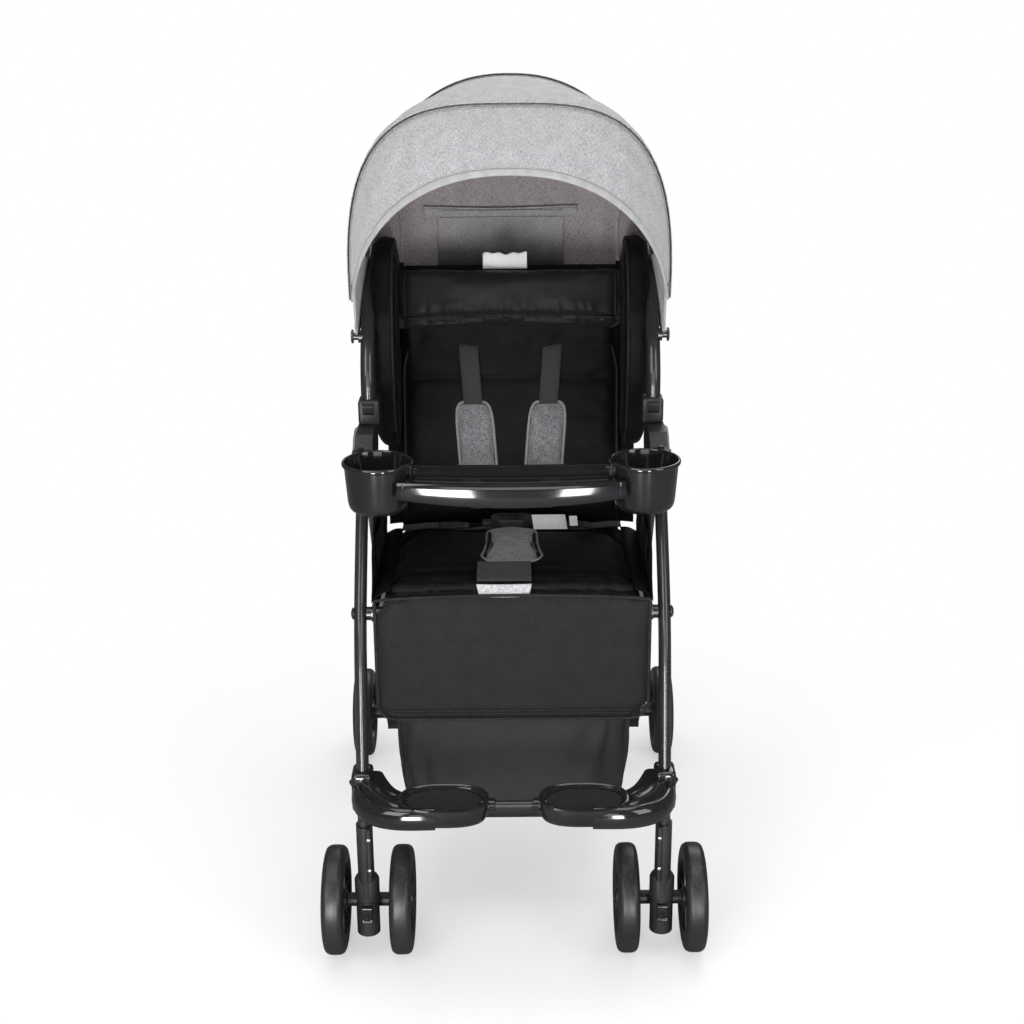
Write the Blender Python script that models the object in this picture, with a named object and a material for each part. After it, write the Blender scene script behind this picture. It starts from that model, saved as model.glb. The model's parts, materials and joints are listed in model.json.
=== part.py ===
"""Folding stroller: a tubular frame with twin swivel wheels in front and a hinged rear frame, a padded
reclining seat, a hood on three bows, a swing-away child tray with two cup holders and a basket.

Metres, +Z up. The stroller faces -Y and stands on Z = 0. Points are given from the front axle's height
and place: Y is the distance behind it. Left and right are those of the person who pushes, so left is +X.
"""

import math

import bmesh
import bpy
from mathutils import Matrix, Vector

# Clearances
GAP = 0.0003  # between pieces that touch
RUNNING = 0.0004  # round a pin that turns

# Widths, which follow from the seat's
SEAT_HALF_WIDTH = 0.160
RAIL_WIDTH = 0.009
RAIL_X = SEAT_HALF_WIDTH + 0.0065 + RAIL_WIDTH / 2
LEG_X = RAIL_X + 0.019
HANDLE_X = LEG_X - 0.003
REAR_LEG_X = LEG_X - 0.001
HOUSING_INNER_X = LEG_X - 0.012
HOUSING_OUTER_X = LEG_X + 0.011
BRACKET_INNER_X = REAR_LEG_X - 0.0125
BRACKET_OUTER_X = REAR_LEG_X + 0.0165
CALF_HALF_WIDTH = RAIL_X + 0.0015
BACKREST_HALF_WIDTH = SEAT_HALF_WIDTH - 0.005
BASKET_HALF_WIDTH = SEAT_HALF_WIDTH - 0.005
KNUCKLE_X = SEAT_HALF_WIDTH - 0.040
HOOD_HALF_WIDTH = HANDLE_X + 0.0305
CUP_X = LEG_X - 0.025
FOOT_PAD_X = LEG_X - 0.104

# Wheels
WHEEL_RADIUS = 0.070
WHEEL_SIDES = 24
FRONT_WHEEL_WIDTH = 0.028
REAR_WHEEL_WIDTH = 0.030
WHEEL_SPACING = 0.087  # between the middles of a caster's twin wheels
AXLE_RADIUS = 0.004
WHEELBASE = 0.545
REAR_AXLE_RADIUS = 0.005
REAR_WHEEL_X = LEG_X + 0.051

# Casters
CASTER_TRAIL = 0.025
BARREL_RADIUS = 0.015
BARREL_BOTTOM = 0.042
BARREL_TOP = 0.088
KINGPIN_RADIUS = 0.005
KINGPIN_DEPTH = 0.026
LOCK_LEVER_WIDTH = 0.013
LOCK_LEVER_HEIGHT = 0.024
LOCK_LEVER_DEPTH = 0.005

# Front legs, as points (y, z) of their centre line
LEG_WIDTH = 0.016
LEG_DEPTH = 0.022
LEG_PATH = (
    (-0.028, 0.100),
    (-0.028, 0.221),
    (-0.001, 0.358),
    (0.034, 0.462),
    (0.104, 0.566),
    (0.137, 0.603),
    (0.178, 0.618),
)
SLEEVE_WALL = 0.0025
SLEEVE_TOP = 0.215

# Footrest
CLAMP_BOTTOM = 0.222
CLAMP_TOP = 0.275
CLAMP_WIDTH = 0.026
CLAMP_DEPTH = 0.036
FOOT_PAD_WIDTH = 0.112
FOOT_PAD_DEPTH = 0.072
FOOT_PAD_Y = -0.080
FOOT_PAD_TOP = 0.266
FOOT_PAD_HEIGHT = 0.025
FOOT_PAD_RIM = 0.004
FOOT_PAD_DISH = 0.005
FOOT_ARM_WIDTH = 0.010
FOOT_ARM_HEIGHT = 0.022
FOOT_BAR_RADIUS = 0.006
FOOT_BAR_Z = FOOT_PAD_TOP - 0.012
BAR_GRIP = 0.002  # of the bar's end inside each pad

# Hinge at the armrests
HINGE_Y = 0.205
HINGE_Z = 0.610
CHEEK = 0.004
HINGE_PIN_RADIUS = 0.004
HINGE_EYE_RADIUS = 0.014
COVER_DEPTH = 0.007
FOLD_ANGLE = math.radians(36)
LUG_Y = 0.125
LUG_TOP = 0.636
LUG_PIN_RADIUS = 0.004
LUG_PIN_HEIGHT = 0.014

# Handle, as points (y, z) of the centre line of its side tubes
TUBE_RADIUS = 0.0095
HANDLE_PATH = (
    (0.222, 0.632),
    (0.222, 0.703),
    (0.232, 0.738),
    (0.250, 0.765),
    (0.290, 0.802),
    (0.380, 0.870),
)
HANDLE_BAR_Y = 0.500
HANDLE_BAR_Z = 0.960
HANDLE_CORNER = 0.060
GRIP_WALL = 0.005
GRIP_LENGTH = 0.210
HOUSING_TOP = 0.655
LATCH_LENGTH = 0.034
LATCH_TRAVEL = 0.012
LATCH_WALL = 0.005

# Seat
CROSS_TUBE_Y = 0.034
CROSS_TUBE_Z = 0.462
CROSS_TUBE_RADIUS = 0.008
RAIL_HEIGHT = 0.018
RAIL_NOSE = 0.0115  # past the cross tube's centre
SEAT_REAR_Y = 0.325
SEAT_REAR_Z = 0.445
SEAT_REAR_RADIUS = 0.007
BOARD_THICKNESS = 0.006
SEAT_PAD_THICKNESS = 0.030
CALF_TOP = 0.490
CALF_BOTTOM = 0.322
CALF_THICKNESS = 0.010
SIDE_PANEL_THICKNESS = 0.006
SIDE_PANEL_FEET = (0.062, 0.120, 0.190, 0.250)
SIDE_PANEL_TOPS = ((0.108, 0.580), (0.145, 0.590), (0.185, 0.592), (0.228, 0.590))

# Backrest, measured along its slope from the recline hinge
BACKREST_TILT = math.radians(8.9)
RECLINE = math.radians(38)
BACKREST_LENGTH = 0.392
BACKREST_START = 0.030
BACKREST_BOARD = 0.008
BACKREST_PAD = 0.020
KNUCKLE_RADIUS = 0.0125
KNUCKLE_WIDTH = 0.040
PILLOW_LENGTH = 0.085
PILLOW_THICKNESS = 0.028
WING_THICKNESS = 0.020

# Harness
STRAP_WIDTH = 0.026
STRAP_THICKNESS = 0.0016
STRAP_X = 0.058
SHOULDER_PAD_WIDTH = 0.052
SHOULDER_PAD_LENGTH = 0.150
SHOULDER_PAD_THICKNESS = 0.009
CROTCH_PAD_AT = 0.054  # from the cross tube, back along the seat
CROTCH_PAD_WIDTH = 0.080
CROTCH_PAD_LENGTH = 0.150
CROTCH_PAD_THICKNESS = 0.008
LAP_BELT_REACH = SEAT_HALF_WIDTH - 0.010
BUCKLE_WIDTH = 0.056
BUCKLE_LENGTH = 0.036
BUCKLE_THICKNESS = 0.014
BUTTON_RADIUS = 0.009
BUTTON_TRAVEL = 0.0025

# Hood
HOOD_Y = 0.250
HOOD_Z = 0.765
HOOD_RADIUS = 0.335
HOOD_ROUNDNESS = 2.3
CLOTH = 0.0015
BOW_THICKNESS = 0.002
BOW_WIDTH = 0.014
HOOD_LAYER = 0.0044  # from one telescoping panel to the next inside it
REAR_BOW_ANGLE = math.radians(-38)
MID_BOW_ANGLE = math.radians(-10)
FRONT_BOW_ANGLE = math.radians(21)
VISOR_ANGLE = math.radians(43)
PANEL_START_RADIUS = 0.055
STUB_RADIUS = 0.005
EYE_RADIUS = 0.010
EYE_TAB = 0.043  # from the pivot up the bow
EYE_PROUD = 0.0003  # of the strip it ends
BOW_FIT = 0.0007  # between a bow and the cloth outside it
ARCH_STEPS = 18
FLAP_SHARE = 0.72  # of the arch's half width that the rear flap hangs from
FLAP_FOOT_Y = 0.420
FLAP_FOOT_Z = 0.800
FLAP_FOOT_HALF_WIDTH = BACKREST_HALF_WIDTH - 0.005
FLAP_SAG = 0.010

# Tray
CUP_Y = 0.068
CUP_TOP = 0.652
CUP_BOTTOM = 0.588
CUP_RIM_RADIUS = 0.0425
CUP_BASE_RADIUS = 0.032
CUP_WALL = 0.0025
CUP_LIP = 0.0015
CUP_LIP_HEIGHT = 0.005
TRAY_FRONT_Y = 0.018
TRAY_REAR_Y = 0.088
TRAY_TOP = 0.640
TRAY_HEIGHT = 0.030
TRAY_BOW = 0.010
TRAY_WALL = 0.003
EAR_THICKNESS = 0.009
EAR_RADIUS = 0.013

# Rear frame
REAR_LEG_RADIUS = 0.009
REAR_CROSS_Z = 0.200
REAR_CROSS_RADIUS = 0.007
SPACER_RADIUS = 0.0105
AXLE_HEAD_RADIUS = 0.009
PEDAL_PIVOT_Y = WHEELBASE + 0.003
PEDAL_PIVOT_Z = WHEEL_RADIUS + 0.038
PEDAL_WIDTH = 0.024
PEDAL_LENGTH = 0.050
PEDAL_THICKNESS = 0.008
PEDAL_PEG_RADIUS = 0.003

# Basket
BASKET_FRONT_Y = 0.040
BASKET_FLOOR = 0.162
BASKET_FRONT_TOP = 0.330
BASKET_CORNER = 0.035
BASKET_WALL = 0.002

SIDES = (("left", 1), ("right", -1))
LONGEST_REACH = (FOOT_PAD_Y - FOOT_PAD_DEPTH / 2, WHEELBASE + WHEEL_RADIUS)
MIDDLE_Y = sum(LONGEST_REACH) / 2


# Scene, materials and bodies

for old in list(bpy.data.objects):
    bpy.data.objects.remove(old)


def material(name, colour, roughness, metallic=0.0):
    made = bpy.data.materials.new(name)
    made.use_nodes = True
    shader = made.node_tree.nodes["Principled BSDF"]
    shader.inputs["Base Color"].default_value = (*colour, 1)
    shader.inputs["Roughness"].default_value = roughness
    shader.inputs["Metallic"].default_value = metallic
    return made


BLACK_PAINT = material("black_paint", (0.015, 0.015, 0.017), 0.35, 0.3)
MATT_PLASTIC = material("matt_plastic", (0.018, 0.018, 0.019), 0.55)
GLOSS_PLASTIC = material("gloss_plastic", (0.010, 0.010, 0.012), 0.12)
SILVER_PLASTIC = material("silver_plastic", (0.42, 0.43, 0.45), 0.35)
TYRE = material("tyre", (0.020, 0.020, 0.021), 0.60)
STEEL = material("steel", (0.55, 0.55, 0.56), 0.30, 1.0)
BLACK_CLOTH = material("black_cloth", (0.014, 0.014, 0.016), 0.75)
GREY_CLOTH = material("grey_cloth", (0.33, 0.33, 0.34), 0.90)
WEBBING = material("webbing", (0.012, 0.012, 0.013), 0.80)
FOAM = material("foam", (0.016, 0.016, 0.016), 0.95)
BOARD = material("board", (0.030, 0.030, 0.032), 0.70)

BODIES = {}


def body(name, pivot, carrier=None):
    """An empty on a joint's axis, which carries the pieces that move with it."""
    empty = bpy.data.objects.new(f"{name}_pivot", None)
    bpy.context.scene.collection.objects.link(empty)
    pivot = Vector(pivot)
    if carrier:
        holder, held_at = BODIES[carrier]
        empty.parent = holder
        empty.location = pivot - held_at
    else:
        empty.location = pivot - Vector((0, MIDDLE_Y, 0))
    BODIES[name] = (empty, pivot)


def place(name, mesh, finish, on="frame", side=1, helper=False):
    """An object from a bmesh in the stroller's own coordinates, turned over in X for the right side."""
    holder, pivot = BODIES[on]
    if side < 0:
        mesh.transform(Matrix.Diagonal((-1, 1, 1, 1)))
    mesh.transform(Matrix.Translation(-pivot))
    bmesh.ops.recalc_face_normals(mesh, faces=mesh.faces)
    if mesh.calc_volume(signed=True) < 0:
        bmesh.ops.reverse_faces(mesh, faces=mesh.faces)
    data = bpy.data.meshes.new(name)
    mesh.to_mesh(data)
    mesh.free()
    data.shade_smooth()
    data.set_sharp_from_angle(angle=math.radians(35))
    data.materials.append(finish)
    made = bpy.data.objects.new(name, data)
    bpy.context.scene.collection.objects.link(made)
    made.parent = holder
    if helper:
        made.hide_render = True
        made.display_type = "WIRE"
    return made


def combine(target, meshes, operation, on, side):
    for number, mesh in enumerate(meshes):
        tool = place(f"{target.name}_{operation.lower()}_{number}", mesh, MATT_PLASTIC, on, side, True)
        change = target.modifiers.new(tool.name, "BOOLEAN")
        change.operation = operation
        change.object = tool


def piece(name, mesh, finish, on="frame", side=1, joined=(), cut=()):
    """A named piece: its first shape, the shapes joined to it and then the shapes cut from it."""
    made = place(name, mesh, finish, on, side)
    combine(made, joined, "UNION", on, side)
    combine(made, cut, "DIFFERENCE", on, side)
    return made


# Shapes, each a closed bmesh

def smooth_path(points, steps=4):
    """Points of a curve that runs through the given ones, with steps between each pair."""
    points = [Vector(p) for p in points]
    ends = [2 * points[0] - points[1]] + points + [2 * points[-1] - points[-2]]
    found = []
    for a, b, c, d in zip(ends, ends[1:], ends[2:], ends[3:]):
        for step in range(steps):
            t = step / steps
            square = (2 * a - 5 * b + 4 * c - d) * t**2
            cube = (3 * b - a - 3 * c + d) * t**3
            found.append(0.5 * (2 * b + (c - a) * t + square + cube))
    return found + [points[-1]]


def side_path(points, x, steps=3):
    """A smooth curve in the plane X = x through points (y, z)."""
    return smooth_path([(x, y, z) for y, z in points], steps)


def ring_faces(mesh, rings, closed=False):
    """Faces between rings of equal length, with caps on the first and last unless they close."""
    count = len(rings[0])
    pairs = list(zip(rings, rings[1:]))
    if closed:
        pairs.append((rings[-1], rings[0]))
    for first, second in pairs:
        for i in range(count):
            j = (i + 1) % count
            mesh.faces.new((first[i], first[j], second[j], second[i]))
    if not closed:
        mesh.faces.new(rings[0])
        mesh.faces.new(rings[-1])


def loft(sections, closed=False):
    """A solid through closed outlines that have the same number of points."""
    mesh = bmesh.new()
    ring_faces(mesh, [[mesh.verts.new(p) for p in section] for section in sections], closed)
    return mesh


def oval(width, depth, sides=12):
    """An outline with straight flanks and rounded ends, as a rolled flat tube has."""
    found = []
    for i in range(sides):
        turn = 2 * math.pi * (i + 0.5) / sides
        across, along = math.cos(turn), math.sin(turn)
        power = 0.8
        found.append(
            (
                width / 2 * math.copysign(abs(across) ** power, across),
                depth / 2 * math.copysign(abs(along) ** power, along),
            )
        )
    return found


def sweep(path, outlines, across=Vector((1, 0, 0))):
    """A solid along a path, from one outline or one for each point. Across is the way of their first axis."""
    path = [Vector(p) for p in path]
    if not isinstance(outlines[0][0], (tuple, list)):
        outlines = [outlines] * len(path)
    sections = []
    for i, point in enumerate(path):
        ahead = path[min(i + 1, len(path) - 1)] - path[max(i - 1, 0)]
        up = ahead.cross(across).normalized()
        first = up.cross(ahead).normalized()
        sections.append([point + first * u + up * v for u, v in outlines[i]])
    return loft(sections)


def rod(start, end, radius, sides=12, end_radius=None):
    """A round bar, or a cone where the end's radius differs."""
    start, end = Vector(start), Vector(end)
    mesh = bmesh.new()
    bmesh.ops.create_cone(
        mesh,
        cap_ends=True,
        segments=sides,
        radius1=radius,
        radius2=radius if end_radius is None else end_radius,
        depth=(end - start).length,
    )
    turn = (end - start).to_track_quat("Z", "Y").to_matrix().to_4x4()
    mesh.transform(Matrix.Translation((start + end) / 2) @ turn)
    return mesh


def cross_rod(centre, low_x, high_x, radius, sides=12):
    """A rod along X through a place given as (y, z)."""
    return rod((low_x, *centre), (high_x, *centre), radius, sides)


def block(low, high, rounding=0.0, segments=2):
    """A box between two corners, with its edges rounded."""
    low, high = Vector(low), Vector(high)
    mesh = bmesh.new()
    bmesh.ops.create_cube(mesh, size=1)
    size = high - low
    mesh.transform(Matrix.Translation((low + high) / 2) @ Matrix.Diagonal((*size, 1)))
    if rounding:
        bmesh.ops.bevel(
            mesh, geom=mesh.edges[:], offset=rounding, segments=segments, profile=0.5, affect="EDGES"
        )
    return mesh


def rounded(outline, radius, steps=3):
    """The outline with each corner replaced by an arc, of a smaller radius where its sides are short."""
    found = []
    count = len(outline)
    for i in range(count):
        before, corner, after = (Vector(outline[(i + k) % count]) for k in (-1, 0, 1))
        back, ahead = (before - corner), (after - corner)
        half = back.angle(ahead) / 2
        reach = min(radius / math.tan(half), 0.45 * back.length, 0.45 * ahead.length)
        first = corner + back.normalized() * reach
        last = corner + ahead.normalized() * reach
        for step in range(steps + 1):
            t = step / steps
            found.append((1 - t) ** 2 * first + 2 * t * (1 - t) * corner + t**2 * last)
    return found


def plate(outline, low_x, high_x, rounding=0.0):
    """An outline of points (y, z) given thickness from low_x to high_x, with its rims rounded."""
    mesh = loft([[(x, p[0], p[1]) for p in outline] for x in (low_x, high_x)])
    if rounding:
        rims = [e for e in mesh.edges if abs(e.verts[0].co.x - e.verts[1].co.x) < 1e-7]
        bmesh.ops.bevel(mesh, geom=rims, offset=rounding, segments=1, profile=0.5, affect="EDGES")
    return mesh


def slab(outline, low_z, high_z, rounding=0.0):
    """An outline of points (x, y) given thickness from low_z to high_z, with its rims rounded."""
    mesh = loft([[(p[0], p[1], z) for p in outline] for z in (low_z, high_z)])
    if rounding:
        rims = [e for e in mesh.edges if abs(e.verts[0].co.z - e.verts[1].co.z) < 1e-7]
        bmesh.ops.bevel(mesh, geom=rims, offset=rounding, segments=1, profile=0.5, affect="EDGES")
    return mesh


def turned(profile, centre, axis="X", sides=24, start=0.5):
    """A closed profile of points (along, radius), turned about an axis through the centre."""
    rings = []
    centre = Vector(centre)
    mesh = bmesh.new()
    for i in range(sides):
        turn = 2 * math.pi * (i + start) / sides
        one, other = math.cos(turn), math.sin(turn)
        ring = []
        for along, radius in profile:
            if axis == "X":
                offset = Vector((along, radius * one, radius * other))
            else:
                offset = Vector((radius * one, radius * other, along))
            ring.append(mesh.verts.new(centre + offset))
        rings.append(ring)
    ring_faces(mesh, rings, closed=True)
    return mesh


def between(front_rows, back_rows):
    """A closed thin solid between two sheets, given as rows of points that lie opposite each other."""
    rows, columns = len(front_rows), len(front_rows[0])
    mesh = bmesh.new()
    front = [[mesh.verts.new(p) for p in row] for row in front_rows]
    back = [[mesh.verts.new(p) for p in row] for row in back_rows]
    for i in range(rows - 1):
        for j in range(columns - 1):
            mesh.faces.new((front[i][j], front[i + 1][j], front[i + 1][j + 1], front[i][j + 1]))
            mesh.faces.new((back[i][j], back[i][j + 1], back[i + 1][j + 1], back[i + 1][j]))
    rim = [(0, j) for j in range(columns - 1)] + [(i, columns - 1) for i in range(rows - 1)]
    rim += [(rows - 1, j) for j in range(columns - 1, 0, -1)] + [(i, 0) for i in range(rows - 1, 0, -1)]
    for (i, j), (k, m) in zip(rim, rim[1:] + rim[:1]):
        mesh.faces.new((front[i][j], front[k][m], back[k][m], back[i][j]))
    return mesh


def sheet(grid, thickness):
    """A sheet of cloth or webbing from rows of points, set back by its thickness."""
    rows, columns = len(grid), len(grid[0])

    def set_back(i, j):
        down = grid[min(i + 1, rows - 1)][j] - grid[max(i - 1, 0)][j]
        over = grid[i][min(j + 1, columns - 1)] - grid[i][max(j - 1, 0)]
        return grid[i][j] - thickness * down.cross(over).normalized()

    return between(grid, [[set_back(i, j) for j in range(columns)] for i in range(rows)])


def cushion(width, length, thickness, seat, crown=1.0, pull=0.03, channels=(), edge=0.35, steps=(10, 10)):
    """A padded form on a flat bottom. It lies in a frame seat = (origin, along, up), where the origin is the
    middle of its first edge. The top is crowned, the sides draw in between the corners, and channels are the
    shares of the length at which it is sewn down.
    """
    origin, along, up = (Vector(v) for v in seat)
    over = along.cross(up).normalized()
    across_steps, along_steps = steps
    marks = sorted({i / along_steps for i in range(along_steps + 1)} | set(channels))
    rows = []
    for v in marks:
        end = 1 - abs(2 * v - 1) ** 4
        half = width / 2 * (1 - pull * (1 - (2 * v - 1) ** 2))
        row = []
        for j in range(across_steps + 1):
            u = 2 * j / across_steps - 1
            swell = crown * (max(0.0, (1 - abs(u) ** 4) * end)) ** 0.5
            sewn = 0.45 if any(abs(v - c) < 1e-6 for c in channels) else 1.0
            height = thickness * (edge + (1 - edge) * swell * sewn)
            row.append((u * half, v * length, height))
        rows.append(row)
    mesh = bmesh.new()
    top = [[mesh.verts.new(origin + over * x + along * y + up * z) for x, y, z in row] for row in rows]
    low = [[mesh.verts.new(origin + over * row[k][0] + along * row[k][1]) for k in (0, -1)] for row in rows]
    last = across_steps
    for i in range(len(rows) - 1):
        for j in range(last):
            mesh.faces.new((top[i][j], top[i][j + 1], top[i + 1][j + 1], top[i + 1][j]))
        mesh.faces.new((low[i][0], low[i][1], low[i + 1][1], low[i + 1][0]))
        mesh.faces.new((low[i][0], top[i][0], top[i + 1][0], low[i + 1][0]))
        mesh.faces.new((low[i][1], low[i + 1][1], top[i + 1][last], top[i][last]))
    mesh.faces.new([low[0][0], *top[0], low[0][1]])
    mesh.faces.new([low[-1][0], *top[-1], low[-1][1]])
    return mesh


# Bodies, each at its joint's axis

AXLE = Vector((0, 0, WHEEL_RADIUS))
SWIVEL_Y = -CASTER_TRAIL
REAR_AXLE = Vector((0, WHEELBASE, WHEEL_RADIUS))
HINGE = Vector((0, HINGE_Y, HINGE_Z))
RECLINE_AXIS = Vector((0, SEAT_REAR_Y, SEAT_REAR_Z))
HOOD_AXIS = Vector((0, HOOD_Y, HOOD_Z))
LEVER_TOP = BARREL_TOP - 0.004
LEVER_Y = SWIVEL_Y - BARREL_RADIUS + LOCK_LEVER_DEPTH / 2

body("frame", (0, 0, 0))
body("rear_frame", HINGE, "frame")
body("backrest", RECLINE_AXIS, "frame")
body("hood_middle", HOOD_AXIS, "frame")
body("hood_front", HOOD_AXIS, "hood_middle")
body("tray", (LEG_X, LUG_Y, LUG_TOP), "frame")
body("buckle_button", (0, 0, 0), "frame")
for side_name, sign in SIDES:
    body(f"caster_{side_name}", (sign * LEG_X, SWIVEL_Y, BARREL_TOP), "frame")
    body(f"swivel_lock_{side_name}", (sign * LEG_X, LEVER_Y, LEVER_TOP), f"caster_{side_name}")
    for spot in ("outer", "inner"):
        body(f"front_wheel_{side_name}_{spot}", (sign * LEG_X, *AXLE.yz), f"caster_{side_name}")
    body(f"rear_wheel_{side_name}", (sign * REAR_WHEEL_X, *REAR_AXLE.yz), "rear_frame")
    body(f"brake_{side_name}", (sign * LEG_X, PEDAL_PIVOT_Y, PEDAL_PIVOT_Z), "rear_frame")
    body(f"fold_latch_{side_name}", (sign * HANDLE_X, HANDLE_PATH[0][0], HOUSING_TOP), "frame")


# Wheels

def wheel(centre, width, bore):
    """A wheel in one turned section: tyre with round shoulders, dished web and a hub that stands out."""
    outer = WHEEL_RADIUS / math.cos(math.pi / WHEEL_SIDES)
    half = width / 2
    face = [
        (half + 0.0005, bore),
        (half + 0.0005, 0.013),
        (0.006, 0.017),
        (0.006, 0.048),
        (half, 0.053),
        (half - 0.001, outer - 0.004),
        (half - 0.008, outer),
    ]
    profile = face + [(-along, radius) for along, radius in reversed(face)]
    return turned(profile, centre, "X", WHEEL_SIDES)


def front_wheels(side_name, sign):
    for spot, away in (("outer", 1), ("inner", -1)):
        centre = Vector((LEG_X + away * WHEEL_SPACING / 2, 0, 0)) + AXLE
        name = f"front_wheel_{side_name}_{spot}"
        piece(name, wheel(centre, FRONT_WHEEL_WIDTH, AXLE_RADIUS + RUNNING), TYRE, name, sign)


def rear_wheel(side_name, sign):
    centre = Vector((REAR_WHEEL_X, 0, 0)) + REAR_AXLE
    name = f"rear_wheel_{side_name}"
    piece(name, wheel(centre, REAR_WHEEL_WIDTH, REAR_AXLE_RADIUS + RUNNING), TYRE, name, sign)


# Casters

def caster(side_name, sign):
    """The barrel that turns on the kingpin, its lobe back to the axle, and the axle with its two heads."""
    half_span = WHEEL_SPACING / 2 + FRONT_WHEEL_WIDTH / 2 + 0.0005
    hub_face = WHEEL_SPACING / 2 - FRONT_WHEEL_WIDTH / 2 - 0.0005
    middle = Vector((LEG_X, 0, WHEEL_RADIUS))
    barrel = rod((LEG_X, SWIVEL_Y, BARREL_BOTTOM), (LEG_X, SWIVEL_Y, BARREL_TOP), BARREL_RADIUS, 20)
    foot = [v for v in barrel.verts if v.co.z < BARREL_BOTTOM + GAP]
    rims = [e for e in barrel.edges if all(v in foot for v in e.verts)]
    bmesh.ops.bevel(barrel, geom=rims, offset=0.003, segments=1, profile=0.5, affect="EDGES")
    lobe = plate(
        rounded([(-0.028, 0.052), (0.006, 0.056), (0.013, 0.070), (0.006, 0.084), (-0.028, 0.086)], 0.008, 2),
        LEG_X - 0.011,
        LEG_X + 0.011,
    )
    hub = rod(middle - Vector((hub_face - GAP, 0, 0)), middle + Vector((hub_face - GAP, 0, 0)), 0.009, 12)
    reach = Vector((half_span + GAP + 0.001, 0, 0))
    axle = rod(middle - reach, middle + reach, AXLE_RADIUS, 12)
    heads = [
        rod(
            middle + Vector((away * (half_span + GAP), 0, 0)),
            middle + Vector((away * (half_span + GAP + 0.0022), 0, 0)),
            0.0075,
            12,
        )
        for away in (-1, 1)
    ]
    half_pocket = LOCK_LEVER_WIDTH / 2 + RUNNING
    barrel_front = SWIVEL_Y - BARREL_RADIUS
    pocket = block(
        (LEG_X - half_pocket, barrel_front - 0.002, LEVER_TOP - LOCK_LEVER_HEIGHT),
        (LEG_X + half_pocket, barrel_front + LOCK_LEVER_DEPTH, LEVER_TOP + 0.0015),
    )
    bore = rod(
        (LEG_X, SWIVEL_Y, BARREL_TOP - KINGPIN_DEPTH - 0.001),
        (LEG_X, SWIVEL_Y, BARREL_TOP + 0.002),
        KINGPIN_RADIUS + RUNNING,
        12,
    )
    joined, cut = [lobe, hub, axle, *heads], [pocket, bore]
    piece(f"caster_fork_{side_name}", barrel, MATT_PLASTIC, f"caster_{side_name}", sign, joined, cut)


def swivel_lock(side_name, sign):
    """The small lever on the front of the barrel, hinged along its top edge."""
    front = SWIVEL_Y - BARREL_RADIUS - 0.0015
    back = SWIVEL_Y - BARREL_RADIUS + LOCK_LEVER_DEPTH - RUNNING
    top, bottom = LEVER_TOP, LEVER_TOP - LOCK_LEVER_HEIGHT + RUNNING
    outline = rounded(
        [(front, bottom + 0.004), (front, top - 0.002), (back, top), (back, bottom), (front - 0.003, bottom)],
        0.0015,
        1,
    )
    lever = plate(outline, LEG_X - LOCK_LEVER_WIDTH / 2, LEG_X + LOCK_LEVER_WIDTH / 2)
    name = f"swivel_lock_{side_name}"
    piece(name, lever, MATT_PLASTIC, name, sign)


# Front legs and the sockets at their feet

def front_leg(side_name, sign):
    path = side_path(LEG_PATH, LEG_X, 2)
    tube = sweep(path, oval(LEG_WIDTH, LEG_DEPTH))
    rivet = rod(
        (LEG_X - LEG_WIDTH, CROSS_TUBE_Y, CROSS_TUBE_Z),
        (LEG_X + LEG_WIDTH, CROSS_TUBE_Y, CROSS_TUBE_Z),
        AXLE_RADIUS + GAP,
        12,
    )
    piece(f"front_leg_{side_name}", tube, BLACK_PAINT, "frame", sign, cut=[rivet])


def caster_socket(side_name, sign):
    """The sleeve round the leg's foot, the barrel under it and the kingpin."""
    path = side_path(LEG_PATH, LEG_X, 2)
    inside = [p for p in path if p.z < SLEEVE_TOP + 0.03]
    foot = Vector((LEG_X, LEG_PATH[0][0], BARREL_TOP + 0.006))
    shell = sweep([foot] + [p for p in inside if p.z < SLEEVE_TOP], oval(
        LEG_WIDTH + 2 * SLEEVE_WALL + 2 * GAP, LEG_DEPTH + 2 * SLEEVE_WALL + 2 * GAP
    ))
    hollow = sweep(inside, oval(LEG_WIDTH + 2 * GAP, LEG_DEPTH + 2 * GAP))
    barrel = rod(
        (LEG_X, SWIVEL_Y, BARREL_TOP + 0.0006),
        (LEG_X, SWIVEL_Y, BARREL_TOP + 0.034),
        BARREL_RADIUS + 0.001,
        20,
    )
    kingpin = rod(
        (LEG_X, SWIVEL_Y, BARREL_TOP - KINGPIN_DEPTH),
        (LEG_X, SWIVEL_Y, BARREL_TOP + 0.004),
        KINGPIN_RADIUS,
        12,
    )
    piece(f"caster_socket_{side_name}", shell, MATT_PLASTIC, "frame", sign, [barrel, kingpin], [hollow])


# Footrest

def foot_pad_outline(inset=0.0):
    """The pad seen from above: an ellipse drawn out to the width, with a straighter front."""
    found = []
    for i in range(24):
        turn = 2 * math.pi * i / 24
        across, along = math.cos(turn), math.sin(turn)
        x = FOOT_PAD_X + (FOOT_PAD_WIDTH / 2 - inset) * math.copysign(abs(across) ** 0.75, across)
        y = FOOT_PAD_Y + (FOOT_PAD_DEPTH / 2 - inset) * math.copysign(abs(along) ** 0.8, along)
        found.append((x, y))
    return found


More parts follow.
